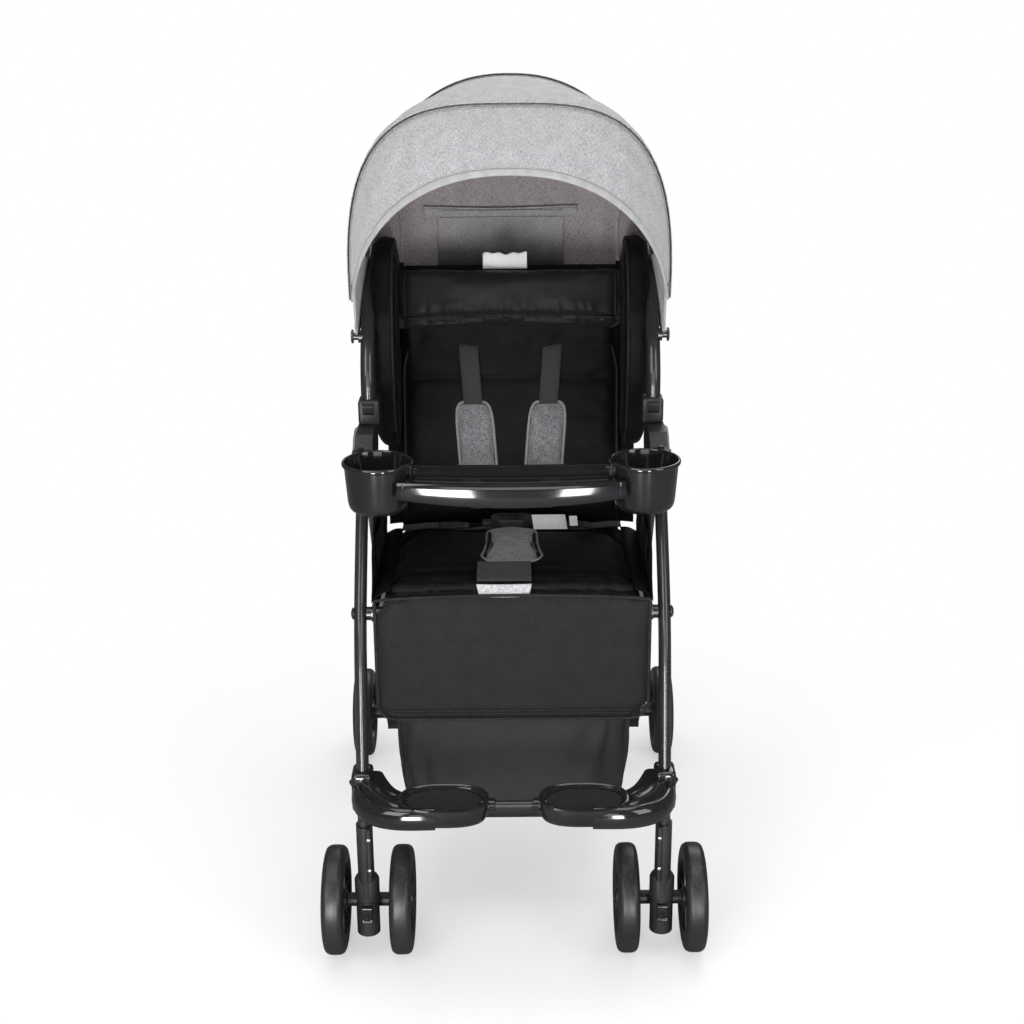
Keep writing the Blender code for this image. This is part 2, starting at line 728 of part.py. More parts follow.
def footrest(side_name, sign):
    """A dished foot pad with a deep rim, the arm that sweeps back to the leg, and the clamp round the leg."""
    leg = side_path(LEG_PATH, LEG_X, 2)
    clamp_y = LEG_PATH[0][0] + 0.004
    low, high = FOOT_PAD_TOP - FOOT_PAD_HEIGHT, FOOT_PAD_TOP
    pad = slab(foot_pad_outline(), low, high, 0.0015)
    clamp = block(
        (LEG_X - CLAMP_WIDTH / 2, clamp_y - CLAMP_DEPTH / 2, CLAMP_BOTTOM),
        (LEG_X + CLAMP_WIDTH / 2, clamp_y + CLAMP_DEPTH / 2, CLAMP_TOP),
        0.005,
        1,
    )
    arm_path = smooth_path(
        [
            (LEG_X - 0.002, clamp_y - 0.004, FOOT_BAR_Z - 0.002),
            (LEG_X - 0.008, clamp_y - 0.036, FOOT_BAR_Z - 0.004),
            (LEG_X - 0.026, FOOT_PAD_Y - 0.012, FOOT_BAR_Z - 0.002),
            (FOOT_PAD_X + 0.046, FOOT_PAD_Y - 0.016, FOOT_BAR_Z - 0.0005),
            (FOOT_PAD_X + 0.020, FOOT_PAD_Y - 0.014, FOOT_BAR_Z - 0.0005),
        ],
        2,
    )
    arm = sweep(arm_path, oval(FOOT_ARM_HEIGHT, FOOT_ARM_WIDTH, 12), Vector((0, 0, 1)))
    boss_x = FOOT_PAD_X - FOOT_PAD_WIDTH / 2
    bar_way = (FOOT_PAD_Y, FOOT_BAR_Z)
    boss = cross_rod(bar_way, boss_x - 0.007, boss_x + 0.010, FOOT_BAR_RADIUS + 0.003)
    dish = slab(foot_pad_outline(FOOT_PAD_RIM), high - FOOT_PAD_DISH, high + 0.005)
    bar_hole = cross_rod(bar_way, boss_x - 0.020, boss_x + BAR_GRIP, FOOT_BAR_RADIUS + GAP)
    through = [p for p in leg if CLAMP_BOTTOM - 0.072 < p.z < CLAMP_TOP + 0.055]
    leg_hole = sweep(through, oval(LEG_WIDTH + 2 * GAP, LEG_DEPTH + 2 * GAP))
    joined = [clamp, arm, boss]
    piece(f"footrest_{side_name}", pad, GLOSS_PLASTIC, "frame", sign, joined, [dish, bar_hole, leg_hole])


def footrest_bar():
    end = FOOT_PAD_X - FOOT_PAD_WIDTH / 2 + BAR_GRIP - GAP
    bar = cross_rod((FOOT_PAD_Y, FOOT_BAR_Z), -end, end, FOOT_BAR_RADIUS)
    piece("footrest_bar", bar, BLACK_PAINT)


# Armrest hinges

def rear_leg_way(angle):
    """The direction of the rear leg's centre line in the plane (y, z), turned about the hinge."""
    rest = math.atan2(WHEEL_RADIUS - HINGE_Z, WHEELBASE - HINGE_Y)
    return rest + angle


def swing_pocket():
    """The outline that the rear leg's top sweeps through between its spread and folded places."""
    spread, folded = rear_leg_way(0), rear_leg_way(-FOLD_ANGLE)
    radius = HINGE_EYE_RADIUS + 0.001
    beside = REAR_LEG_RADIUS + 0.0008
    reach = 0.075
    outline = []
    for side_angle, direction in ((spread, 1), (folded, -1)):
        along = Vector((math.cos(side_angle), math.sin(side_angle)))
        off = Vector((-along.y, along.x)) * direction
        start = HINGE.yz + off * beside + along * math.sqrt(radius**2 - beside**2)
        outline.append((start, HINGE.yz + off * beside + along * reach))
    (near_a, far_a), (near_b, far_b) = outline
    first = math.atan2(*(near_a - HINGE.yz).yx)
    last = math.atan2(*(near_b - HINGE.yz).yx) % (2 * math.pi)
    arc = [
        HINGE.yz + radius * Vector((math.cos(t), math.sin(t)))
        for t in (first + (last - first) * i / 10 for i in range(1, 10))
    ]
    return [far_a, near_a, *arc, near_b, far_b]


HOUSING_OUTLINE = (
    (LUG_Y - 0.0145, LUG_TOP - 0.0225),
    (LUG_Y - 0.0145, LUG_TOP),
    (LUG_Y + 0.016, LUG_TOP),
    (HINGE_Y - 0.035, HOUSING_TOP),
    (HINGE_Y + 0.036, HOUSING_TOP),
    (HINGE_Y + 0.046, HINGE_Z + 0.015),
    (HINGE_Y + 0.026, HINGE_Z - 0.026),
    (HINGE_Y - 0.024, HINGE_Z - 0.026),
    (HINGE_Y - 0.070, HINGE_Z - 0.020),
    (LUG_Y + 0.006, LUG_TOP - 0.052),
    (LUG_Y - 0.003, LUG_TOP - 0.044),
)


def hinge_housing(side_name, sign):
    """The moulded armrest: sockets for the leg and the handle tube, and two cheeks round the rear leg."""
    outline = rounded([Vector(p) for p in HOUSING_OUTLINE], 0.007, 2)
    shell = plate(outline, HOUSING_INNER_X, HOUSING_OUTER_X, 0.0015)
    pin = rod((LEG_X, LUG_Y, LUG_TOP - 0.004), (LEG_X, LUG_Y, LUG_TOP + LUG_PIN_HEIGHT), LUG_PIN_RADIUS, 12)
    leg = side_path(LEG_PATH, LEG_X, 2)
    last = leg[-1] + (leg[-1] - leg[-2]).normalized() * GAP
    leg_hole = sweep(
        [p for p in leg[:-1] if p.z > 0.56] + [last], oval(LEG_WIDTH + 2 * GAP, LEG_DEPTH + 2 * GAP)
    )
    tube_hole = rod(
        (HANDLE_X, HANDLE_PATH[0][0], HANDLE_PATH[0][1] - GAP),
        (HANDLE_X, HANDLE_PATH[0][0], HOUSING_TOP + 0.010),
        TUBE_RADIUS + GAP,
        16,
    )
    pocket = plate(swing_pocket(), HOUSING_INNER_X + CHEEK, HOUSING_OUTER_X - CHEEK)
    bore = cross_rod(HINGE.yz, HOUSING_INNER_X - 0.002, HOUSING_OUTER_X + 0.002, HINGE_PIN_RADIUS + GAP)
    cut = [leg_hole, tube_hole, pocket, bore]
    piece(f"hinge_housing_{side_name}", shell, MATT_PLASTIC, "frame", sign, [pin], cut)


def hinge_cover(side_name, sign):
    """The silver teardrop on the housing's outer face. Its boss is the pin that the rear leg turns on."""
    low = HOUSING_OUTER_X + GAP
    stages = ((0.0, 1.0), (0.55, 0.97), (0.85, 0.86), (1.0, 0.66))
    narrow_y, narrow_z = HINGE_Y + 0.020, HOUSING_TOP + 0.004
    base = []
    for i in range(24):
        turn = 2 * math.pi * i / 24
        taper = 1 - 0.42 * max(0.0, math.sin(turn))
        base.append((0.028 * math.cos(turn) * taper, 0.034 * math.sin(turn)))
    lean = (narrow_y - HINGE_Y) / (narrow_z - HINGE_Z)
    sections = []
    for depth, share in stages:
        section = []
        for y, z in base:
            leaning_y = y * share + lean * (z * share + 0.008)
            section.append((low + COVER_DEPTH * depth, HINGE_Y + leaning_y, HINGE_Z + z * share + 0.006))
        sections.append(section)
    pin = cross_rod(HINGE.yz, HOUSING_INNER_X - 0.0012, low + 0.002, HINGE_PIN_RADIUS)
    piece(f"hinge_cover_{side_name}", loft(sections), SILVER_PLASTIC, "frame", sign, [pin])


# Handle

def handle_centre_line():
    """Up one side, round the corners of the bar and down the other."""
    up = [Vector((HANDLE_X, *HANDLE_PATH[0]))] + side_path(HANDLE_PATH[1:], HANDLE_X, 2)
    climb = Vector((0, HANDLE_BAR_Y, HANDLE_BAR_Z)) - Vector((0, *HANDLE_PATH[-1]))
    rise = climb.normalized()
    corner_start = Vector((HANDLE_X, HANDLE_BAR_Y, HANDLE_BAR_Z)) - rise * HANDLE_CORNER
    centre = corner_start - Vector((HANDLE_CORNER, 0, 0))
    corner = [
        centre + HANDLE_CORNER * (math.cos(t) * Vector((1, 0, 0)) + math.sin(t) * rise)
        for t in (math.pi / 2 * i / 4 for i in range(5))
    ]
    half = up + corner
    return half + [Vector((-p.x, p.y, p.z)) for p in reversed(half)]


def round_sweep(path, radius, sides=12):
    """A tube along any path in space."""
    curve = bpy.data.curves.new("path", "CURVE")
    curve.dimensions = "3D"
    curve.bevel_depth = radius
    curve.bevel_resolution = sides // 4 - 1
    curve.use_fill_caps = True
    line = curve.splines.new("POLY")
    line.points.add(len(path) - 1)
    for point, place_at in zip(line.points, path):
        point.co = (*place_at, 1)
    maker = bpy.data.objects.new("path", curve)
    mesh = bmesh.new()
    mesh.from_mesh(maker.to_mesh())
    maker.to_mesh_clear()
    bpy.data.objects.remove(maker)
    bpy.data.curves.remove(curve)
    bmesh.ops.remove_doubles(mesh, verts=mesh.verts, dist=1e-6)
    return mesh


def hood_stub(sign):
    """The peg on the handle tube that the hood's bows turn on, with its flange."""
    start = (sign * HANDLE_X, HOOD_Y, HOOD_Z)
    head = HOOD_HALF_WIDTH - CLOTH
    peg = rod(start, (sign * (head + 0.001), HOOD_Y, HOOD_Z), STUB_RADIUS, 12)
    flange = rod((sign * head, HOOD_Y, HOOD_Z), (sign * (head + 0.0025), HOOD_Y, HOOD_Z), 0.009, 16)
    collar = rod(start, (sign * (HANDLE_X + TUBE_RADIUS + 0.003), HOOD_Y, HOOD_Z), 0.0085, 16)
    return [peg, flange, collar]


def handle():
    tube = round_sweep(handle_centre_line(), TUBE_RADIUS)
    piece("handle_tube", tube, BLACK_PAINT, joined=hood_stub(1) + hood_stub(-1))
    ends = [Vector((away * GRIP_LENGTH / 2, HANDLE_BAR_Y, HANDLE_BAR_Z)) for away in (-1, 1)]
    outer = TUBE_RADIUS + GAP + GRIP_WALL
    inner = TUBE_RADIUS + GAP
    half = GRIP_LENGTH / 2
    profile = [(-half, inner), (-half, outer - 0.002), (-half + 0.002, outer)]
    profile += [(-along, radius) for along, radius in reversed(profile)]
    piece("handle_grip", turned(profile, (ends[0] + ends[1]) / 2, "X", 20), FOAM)


def fold_latch(side_name, sign):
    """The sliding collar on the handle tube, with a finger tab in front."""
    inner = TUBE_RADIUS + 0.0005
    centre = Vector((HANDLE_X, HANDLE_PATH[0][0], HOUSING_TOP + GAP))
    low, high = centre.z, centre.z + LATCH_LENGTH
    half = inner + LATCH_WALL
    corners = (HANDLE_X - half, centre.y - half, low), (HANDLE_X + half - 0.002, centre.y + half, high)
    collar = block(*corners, 0.004)
    tab = plate(
        rounded(
            [
                (centre.y - half - 0.007, high - 0.006),
                (centre.y - half + 0.003, high - 0.003),
                (centre.y - half + 0.003, high - 0.022),
                (centre.y - half - 0.004, high - 0.016),
            ],
            0.002,
            2,
        ),
        HANDLE_X - 0.008,
        HANDLE_X + 0.007,
    )
    bore = rod((HANDLE_X, centre.y, low - 0.01), (HANDLE_X, centre.y, high + 0.01), inner, 16)
    name = f"fold_latch_{side_name}"
    piece(name, collar, MATT_PLASTIC, name, sign, [tab], [bore])


# Seat

def seat_cross_tube():
    """The tube across the front of the seat, with a rivet through each leg and a head outside it."""
    inside = LEG_X - LEG_WIDTH / 2 - GAP
    outside = LEG_X + LEG_WIDTH / 2 + GAP
    half = [
        (inside, CROSS_TUBE_RADIUS),
        (inside, AXLE_RADIUS),
        (outside, AXLE_RADIUS),
        (outside, 0.0075),
        (outside + 0.002, 0.007),
        (outside + 0.0035, 0.004),
    ]
    profile = [(-x, r) for x, r in reversed(half)] + half
    ends = [(profile[-1][0], 0.0), (profile[0][0], 0.0)]
    mesh = turned(profile + ends, (0, CROSS_TUBE_Y, CROSS_TUBE_Z), "X", 12)
    bmesh.ops.remove_doubles(mesh, verts=mesh.verts, dist=1e-6)
    slivers = [f for f in mesh.faces if f.calc_area() < 1e-12]
    bmesh.ops.delete(mesh, geom=slivers, context="FACES_ONLY")
    loose = [e for e in mesh.edges if not e.link_faces]
    bmesh.ops.delete(mesh, geom=loose, context="EDGES")
    piece("seat_cross_tube", mesh, BLACK_PAINT)


def seat_frame():
    """Two side rails and the rear tube, one welded piece. The front tube passes through the rails."""
    rear = rod((-RAIL_X, SEAT_REAR_Y, SEAT_REAR_Z), (RAIL_X, SEAT_REAR_Y, SEAT_REAR_Z), SEAT_REAR_RADIUS, 16)
    front = Vector((0, CROSS_TUBE_Y, CROSS_TUBE_Z))
    back = Vector((0, SEAT_REAR_Y, SEAT_REAR_Z))
    along = (back - front).normalized()
    up = Vector((0, -along.z, along.y))
    ends = [front - along * RAIL_NOSE, back + along * 0.010]
    corners = [(ends[0] - up * RAIL_HEIGHT / 2), (ends[0] + up * RAIL_HEIGHT / 2)]
    corners += [(ends[1] + up * RAIL_HEIGHT / 2), (ends[1] - up * RAIL_HEIGHT / 2)]
    outline = rounded([c.yz for c in corners], RAIL_HEIGHT / 2, 3)
    rails = [
        plate(outline, sign * RAIL_X - RAIL_WIDTH / 2, sign * RAIL_X + RAIL_WIDTH / 2) for _, sign in SIDES
    ]
    holes = [
        rod(
            (sign * (RAIL_X - RAIL_WIDTH), CROSS_TUBE_Y, CROSS_TUBE_Z),
            (sign * (RAIL_X + RAIL_WIDTH), CROSS_TUBE_Y, CROSS_TUBE_Z),
            CROSS_TUBE_RADIUS + GAP,
            16,
        )
        for _, sign in SIDES
    ]
    piece("seat_frame", rear, BLACK_PAINT, joined=rails, cut=holes)


def seat_slope():
    """Where the board's underside lies on the two tubes: its front point and its directions along and up."""
    front = Vector((0, CROSS_TUBE_Y, CROSS_TUBE_Z))
    back = Vector((0, SEAT_REAR_Y, SEAT_REAR_Z))
    span = (back - front).length
    lean = math.atan2(back.z - front.z, back.y - front.y)
    lean -= math.asin((CROSS_TUBE_RADIUS - SEAT_REAR_RADIUS) / span)
    along = Vector((0, math.cos(lean), math.sin(lean)))
    up = Vector((0, -along.z, along.y))
    return front + up * (CROSS_TUBE_RADIUS + GAP), along, up


SEAT_BOARD_END = SEAT_REAR_Y - CROSS_TUBE_Y + 0.006
SEAT_PAD_END = SEAT_REAR_Y - CROSS_TUBE_Y - 0.026


def seat():
    start, along, up = seat_slope()
    corners = [start - along * 0.004, start + along * SEAT_BOARD_END]
    corners += [corners[1] + up * BOARD_THICKNESS, corners[0] + up * BOARD_THICKNESS]
    board = plate([c.yz for c in corners], -SEAT_HALF_WIDTH, SEAT_HALF_WIDTH)
    notches = []
    for _, sign in SIDES:
        middle = Vector((sign * KNUCKLE_X, SEAT_REAR_Y, SEAT_REAR_Z))
        low = middle - Vector((KNUCKLE_WIDTH / 2 + 0.001, KNUCKLE_RADIUS + 0.002, 0.03))
        high = middle + Vector((KNUCKLE_WIDTH / 2 + 0.001, 0.05, 0.03))
        notches.append(block(low, high))
    piece("seat_board", board, BOARD, cut=notches)
    base = start + up * (BOARD_THICKNESS + GAP)
    lie = (base - along * 0.004, along, up)
    pad = cushion(
        2 * SEAT_HALF_WIDTH,
        SEAT_PAD_END + 0.004,
        SEAT_PAD_THICKNESS,
        lie,
        channels=(0.15, 0.72),
        pull=0.015,
        steps=(12, 10),
    )
    piece("seat_pad", pad, BLACK_CLOTH)


def calf_panel():
    """The board that hangs in front of the cross tube, padded in front."""
    back = CROSS_TUBE_Y - RAIL_NOSE - GAP
    lie = ((0, back, CALF_BOTTOM), (0, 0, 1), (0, -1, 0))
    length = CALF_TOP - CALF_BOTTOM
    panel = cushion(2 * CALF_HALF_WIDTH, length, CALF_THICKNESS, lie, edge=0.55, pull=0.01, steps=(12, 6))
    piece("calf_panel", panel, BLACK_CLOTH)


def rail_top(y):
    """The height of the rail's upper edge at a place along it."""
    t = (y - CROSS_TUBE_Y) / (SEAT_REAR_Y - CROSS_TUBE_Y)
    return CROSS_TUBE_Z + t * (SEAT_REAR_Z - CROSS_TUBE_Z) + RAIL_HEIGHT / 2


def seat_side(side_name, sign):
    """The cloth wall that stands on the rail and rises to the armrest."""
    grid = []
    for foot_y, top in zip(SIDE_PANEL_FEET, SIDE_PANEL_TOPS):
        low = Vector((foot_y, rail_top(foot_y) + 2 * GAP))
        high = Vector(top)
        row = []
        for step in range(5):
            t = step / 4
            point = low.lerp(high, t)
            row.append(Vector((RAIL_X - 0.0015 + 0.003 * math.sin(math.pi * t), point.x, point.y)))
        grid.append(row)
    wall = sheet(grid, SIDE_PANEL_THICKNESS / 2)
    piece(f"seat_side_{side_name}", wall, BLACK_CLOTH, "frame", sign)


# Backrest, in a frame that leans back with it

LEAN_UP = Vector((0, math.sin(BACKREST_TILT), math.cos(BACKREST_TILT)))
LEAN_FRONT = Vector((0, -math.cos(BACKREST_TILT), math.sin(BACKREST_TILT)))
BOARD_FRONT = BACKREST_BOARD / 2
PAD_FRONT = BOARD_FRONT + GAP + BACKREST_PAD


def on_back(x, height, forward):
    """A point by its place across, its distance up the slope from the hinge and its distance forward."""
    return Vector((x, 0, 0)) + RECLINE_AXIS + LEAN_UP * height + LEAN_FRONT * forward


def board_part(low, high):
    """The corners (y, z) of the backrest board between two heights up its slope."""
    places = ((low, -BOARD_FRONT), (high, -BOARD_FRONT), (high, BOARD_FRONT), (low, BOARD_FRONT))
    return [on_back(0, height, forward).yz for height, forward in places]


def backrest():
    """The board with its two knuckles round the seat's rear tube, and the pad on its front."""
    half_board = BACKREST_HALF_WIDTH - 0.004
    board = plate(board_part(BACKREST_START - 0.012, BACKREST_LENGTH), -half_board, half_board)
    knuckles, bores = [], []
    for _, sign in SIDES:
        ends = [sign * KNUCKLE_X + away * KNUCKLE_WIDTH / 2 for away in (-1, 1)]
        knuckles.append(rod(*((x, *RECLINE_AXIS.yz) for x in ends), KNUCKLE_RADIUS, 20))
        knuckles.append(plate(board_part(KNUCKLE_RADIUS - 0.0035, BACKREST_START), *ends))
        bore_ends = [sign * KNUCKLE_X + away * KNUCKLE_WIDTH for away in (-1, 1)]
        bores.append(cross_rod(RECLINE_AXIS.yz, *bore_ends, SEAT_REAR_RADIUS + RUNNING, 16))
    piece("backrest_board", board, BOARD, "backrest", joined=knuckles, cut=bores)
    front = BOARD_FRONT + GAP
    lie = (on_back(0, BACKREST_START, front), LEAN_UP, LEAN_FRONT)
    pad = cushion(
        2 * BACKREST_HALF_WIDTH,
        BACKREST_LENGTH - BACKREST_START,
        BACKREST_PAD,
        lie,
        channels=(0.12, 0.60),
        pull=0.0,
        edge=0.6,
        steps=(10, 10),
    )
    piece("backrest_pad", pad, BLACK_CLOTH, "backrest")


def head_pillow():
    """The long pillow across the top of the backrest."""
    start = BACKREST_LENGTH - PILLOW_LENGTH
    lie = (on_back(0, start, PAD_FRONT + GAP), LEAN_UP, LEAN_FRONT)
    width = 2 * BACKREST_HALF_WIDTH - 0.006
    pillow = cushion(width, PILLOW_LENGTH, PILLOW_THICKNESS, lie, edge=0.25, pull=0.02, steps=(14, 8))
    piece("head_pillow", pillow, BLACK_CLOTH, "backrest")


WING_OUTLINE = (
    (0.372, 0.610),
    (0.393, 0.855),
    (0.350, 0.882),
    (0.300, 0.868),
    (0.262, 0.790),
    (0.254, 0.700),
    (0.278, 0.612),
    (0.325, 0.590),
)


def side_wing(side_name, sign):
    """The padded cheek that stands forward from the backrest's edge."""
    inner = BACKREST_HALF_WIDTH + GAP
    outline = rounded([Vector(p) for p in WING_OUTLINE], 0.03, 3)
    wing = plate(outline, inner, inner + WING_THICKNESS, 0.003)
    piece(f"side_wing_{side_name}", wing, BLACK_CLOTH, "backrest", sign)


# Harness

def shoulder_harness(side_name, sign):
    """The webbing from the slot in the backrest, and the pad round it lower down."""
    top, bottom = 0.285, 0.045
    pad_top = bottom + SHOULDER_PAD_LENGTH + 0.012
    lean = 0.018
    surface = PAD_FRONT + GAP

    def middle(height):
        return STRAP_X - lean * (top - height) / (top - bottom)

    grid = []
    for i in range(5):
        height = top + (pad_top + 0.0012 - top) * i / 4
        x = middle(height)
        row = [on_back(x + u * STRAP_WIDTH / 2, height, surface + STRAP_THICKNESS) for u in (-1, 0, 1)]
        grid.append(row)
    strap = sheet(grid, STRAP_THICKNESS)
    piece(f"shoulder_strap_{side_name}", strap, WEBBING, "backrest", sign)
    start = on_back(middle(pad_top - SHOULDER_PAD_LENGTH), pad_top - SHOULDER_PAD_LENGTH, surface)
    end = on_back(middle(pad_top), pad_top, surface)
    lie = (start, (end - start).normalized(), LEAN_FRONT)
    pad = cushion(
        SHOULDER_PAD_WIDTH, SHOULDER_PAD_LENGTH, SHOULDER_PAD_THICKNESS, lie, edge=0.3, pull=0.0, steps=(6, 8)
    )
    piece(f"shoulder_pad_{side_name}", pad, GREY_CLOTH, "backrest", sign)


def on_seat(x, along_seat, above):
    """A point by its place across, its distance back along the seat and its height above the pad's top."""
    start, along, up = seat_slope()
    top = start + up * (BOARD_THICKNESS + 2 * GAP + SEAT_PAD_THICKNESS)
    return Vector((x, 0, 0)) + top + along * along_seat + up * above


def harness_on_seat():
    """The crotch pad, the lap belt and the buckle, which lie on the seat."""
    _, along, up = seat_slope()
    pad = cushion(
        CROTCH_PAD_WIDTH,
        CROTCH_PAD_LENGTH,
        CROTCH_PAD_THICKNESS,
        (on_seat(0, CROTCH_PAD_AT, 0), along, up),
        edge=0.35,
        pull=0.12,
        steps=(6, 8),
    )
    piece("crotch_pad", pad, GREY_CLOTH)
    belt_at = CROTCH_PAD_AT + CROTCH_PAD_LENGTH + 2 * GAP + (BUCKLE_LENGTH - STRAP_WIDTH) / 2
    grid = []
    for i in range(13):
        x = LAP_BELT_REACH * (2 * i / 12 - 1)
        grid.append([on_seat(x, belt_at + v * STRAP_WIDTH, STRAP_THICKNESS) for v in (0, 1)])
    piece("lap_belt", sheet(grid, STRAP_THICKNESS), WEBBING)
    buckle_middle = on_seat(0, belt_at + STRAP_WIDTH / 2, STRAP_THICKNESS + GAP)
    turn = Matrix((Vector((1, 0, 0)), along, up)).transposed().to_4x4()
    seat_it = Matrix.Translation(buckle_middle) @ turn
    quarter = ((1, 0.7), (0.6, 1))
    turned_round = [(x, -y) for x, y in reversed(quarter)]
    corners = [*turned_round, *quarter]
    corners += [(-x, -y) for x, y in corners]
    outline = rounded([Vector((x * BUCKLE_WIDTH / 2, y * BUCKLE_LENGTH / 2)) for x, y in corners], 0.006, 2)
    shell = slab(outline, 0, BUCKLE_THICKNESS, 0.002)
    button_foot = BUCKLE_THICKNESS - BUTTON_TRAVEL
    well = rod((0, 0, button_foot - 0.003), (0, 0, BUCKLE_THICKNESS + 0.004), BUTTON_RADIUS + GAP, 20)
    shell.transform(seat_it)
    well.transform(seat_it)
    piece("buckle", shell, MATT_PLASTIC, cut=[well])
    button = rod((0, 0, button_foot), (0, 0, BUCKLE_THICKNESS + 0.001), BUTTON_RADIUS, 20)
    button.transform(seat_it)
    piece("buckle_button", button, MATT_PLASTIC, "buckle_button")


# Hood

def hood_point(turn, angle, inset):
    """A point of the hood. Turn runs over the arch from left (0) to right (pi), and angle leans the arch."""
    power = 2 / HOOD_ROUNDNESS
    across, rise = math.cos(turn), math.sin(turn)
    x = (HOOD_HALF_WIDTH - inset) * math.copysign(abs(across) ** power, across)
    radius = (HOOD_RADIUS - inset) * abs(rise) ** power
    return HOOD_AXIS + Vector((x, -radius * math.sin(angle), radius * math.cos(angle)))


def arch_turn(radius):
    """The turn at which the arch is at a distance from its pivot, on the left."""
    return math.asin((radius / HOOD_RADIUS) ** (HOOD_ROUNDNESS / 2))


FIRST_TURN = arch_turn(PANEL_START_RADIUS)
ARCH_TURNS = [FIRST_TURN + (math.pi - 2 * FIRST_TURN) * i / ARCH_STEPS for i in range(ARCH_STEPS + 1)]


def hood_panel(name, start, end, layer, on, steps=3):
    """A curved cloth panel between two angles. Each layer lies inside the one before, so that they nest."""
    angles = [start + (end - start) * i / steps for i in range(steps + 1)]
    faces = []
    for inset in (layer * HOOD_LAYER, layer * HOOD_LAYER + CLOTH):
        faces.append([[hood_point(turn, angle, inset) for angle in angles] for turn in ARCH_TURNS])
    piece(name, between(*faces), GREY_CLOTH, on)


def hood_bow(name, angle, layer, on):
    """A flat plastic bow under its panel's edge, with an eye at each end on the stub."""
    outer = layer * HOOD_LAYER + CLOTH + BOW_FIT
    half_turn = BOW_WIDTH / 2 / HOOD_RADIUS
    foot = arch_turn(EYE_RADIUS + 0.006)
    rows = []
    for turn in [foot, *ARCH_TURNS, math.pi - foot]:
        corners = ((-1, 0), (1, 0), (1, BOW_THICKNESS), (-1, BOW_THICKNESS))
        rows.append([hood_point(turn, angle + way * half_turn, outer + depth) for way, depth in corners])
    strip = loft(rows)
    up = Vector((0, -math.sin(angle), math.cos(angle)))
    beside = Vector((0, up.z, -up.y))
    around = [math.radians(50 - 280 * i / 12) for i in range(13)]
    eye = [(EYE_RADIUS * math.cos(t), EYE_RADIUS * math.sin(t)) for t in around]
    eye += [(-BOW_WIDTH / 2, EYE_TAB), (BOW_WIDTH / 2, EYE_TAB)]
    eye = [HOOD_AXIS.yz + (beside * over + up * along).yz for over, along in eye]
    joined, bores = [], []
    for _, sign in SIDES:
        face = HOOD_HALF_WIDTH - outer + EYE_PROUD
        low, high = sorted((sign * face, sign * (face - BOW_THICKNESS - 2 * EYE_PROUD)))
        joined.append(plate(eye, low, high))
        bores.append(cross_rod((HOOD_Y, HOOD_Z), low - 0.004, high + 0.004, STUB_RADIUS + RUNNING))
    piece(name, strip, MATT_PLASTIC, on, joined=joined, cut=bores)


def rear_flap():
    """The cloth from the rear bow down behind the backrest."""
    behind_bow = REAR_BOW_ANGLE - (BOW_WIDTH / 2 + 2 * GAP) / (HOOD_RADIUS - HOOD_LAYER)
    turns = [t for t in ARCH_TURNS if abs(math.cos(t)) < FLAP_SHARE]
    widest = hood_point(turns[0], behind_bow, CLOTH + GAP).x
    grid = []
    for turn in turns:
        upper = hood_point(turn, behind_bow, CLOTH + GAP)
        lower = Vector((upper.x / widest * FLAP_FOOT_HALF_WIDTH, FLAP_FOOT_Y, FLAP_FOOT_Z))
        row = []
        for i in range(5):
            t = i / 4
            row.append(upper.lerp(lower, t) + Vector((0, FLAP_SAG * math.sin(math.pi * t), 0)))
        grid.append(row)
    piece("hood_rear_flap", sheet(grid, CLOTH), GREY_CLOTH)


# Child tray

def tray_section(x):
    """The tray's cut across at a place along it: a shallow trough between two lips, hollow underneath."""
    share = (x / (CUP_X - CUP_BASE_RADIUS)) ** 2
    front = TRAY_FRONT_Y + TRAY_BOW * share
    low = TRAY_TOP - TRAY_HEIGHT + 0.006 * share
    rear = TRAY_REAR_Y + 0.004 * share
    top, wall = TRAY_TOP, TRAY_WALL
    outline = [
        (front + 0.003, low),
        (front, low + 0.010),
        (front + 0.001, top - 0.008),
        (front + 0.004, top - 0.0055),
        (front + 0.009, top - 0.0065),
        (rear - 0.012, top - 0.004),
        (rear - 0.006, top),
        (rear, top - 0.002),
        (rear, top - 0.020),
        (rear - wall, top - 0.020),
        (rear - wall, top - 0.006 - wall),
        (front + 0.009, top - 0.008 - wall),
        (front + 0.004 + wall, top - 0.011 - wall),
        (front + 0.003 + wall, low),
    ]
    return [(x, y, z) for y, z in outline]


def cup_body(sign, inset, low, high):
    """A tapered round solid at a cup's place, used for its outside and for its hollow."""
    slope = (CUP_RIM_RADIUS - CUP_BASE_RADIUS) / (CUP_TOP - CUP_BOTTOM)
    radii = [CUP_BASE_RADIUS + slope * (z - CUP_BOTTOM) - inset for z in (low, high)]
    return rod((sign * CUP_X, CUP_Y, low), (sign * CUP_X, CUP_Y, high), radii[0], 24, radii[1])


def tray_ear(sign):
    """The arm behind a cup that lies on the armrest's lug."""
    low = LUG_TOP + GAP
    reach = EAR_RADIUS
    outline = rounded(
        [
            Vector((sign * (LEG_X - reach), LUG_Y - 0.048)),
            Vector((sign * (LEG_X + reach - 0.002), LUG_Y - 0.040)),
            Vector((sign * (LEG_X + reach - 0.002), LUG_Y + reach)),
            Vector((sign * (LEG_X - reach), LUG_Y + reach)),
        ],
        0.006,
        3,
    )
    return slab(outline, low, low + EAR_THICKNESS)


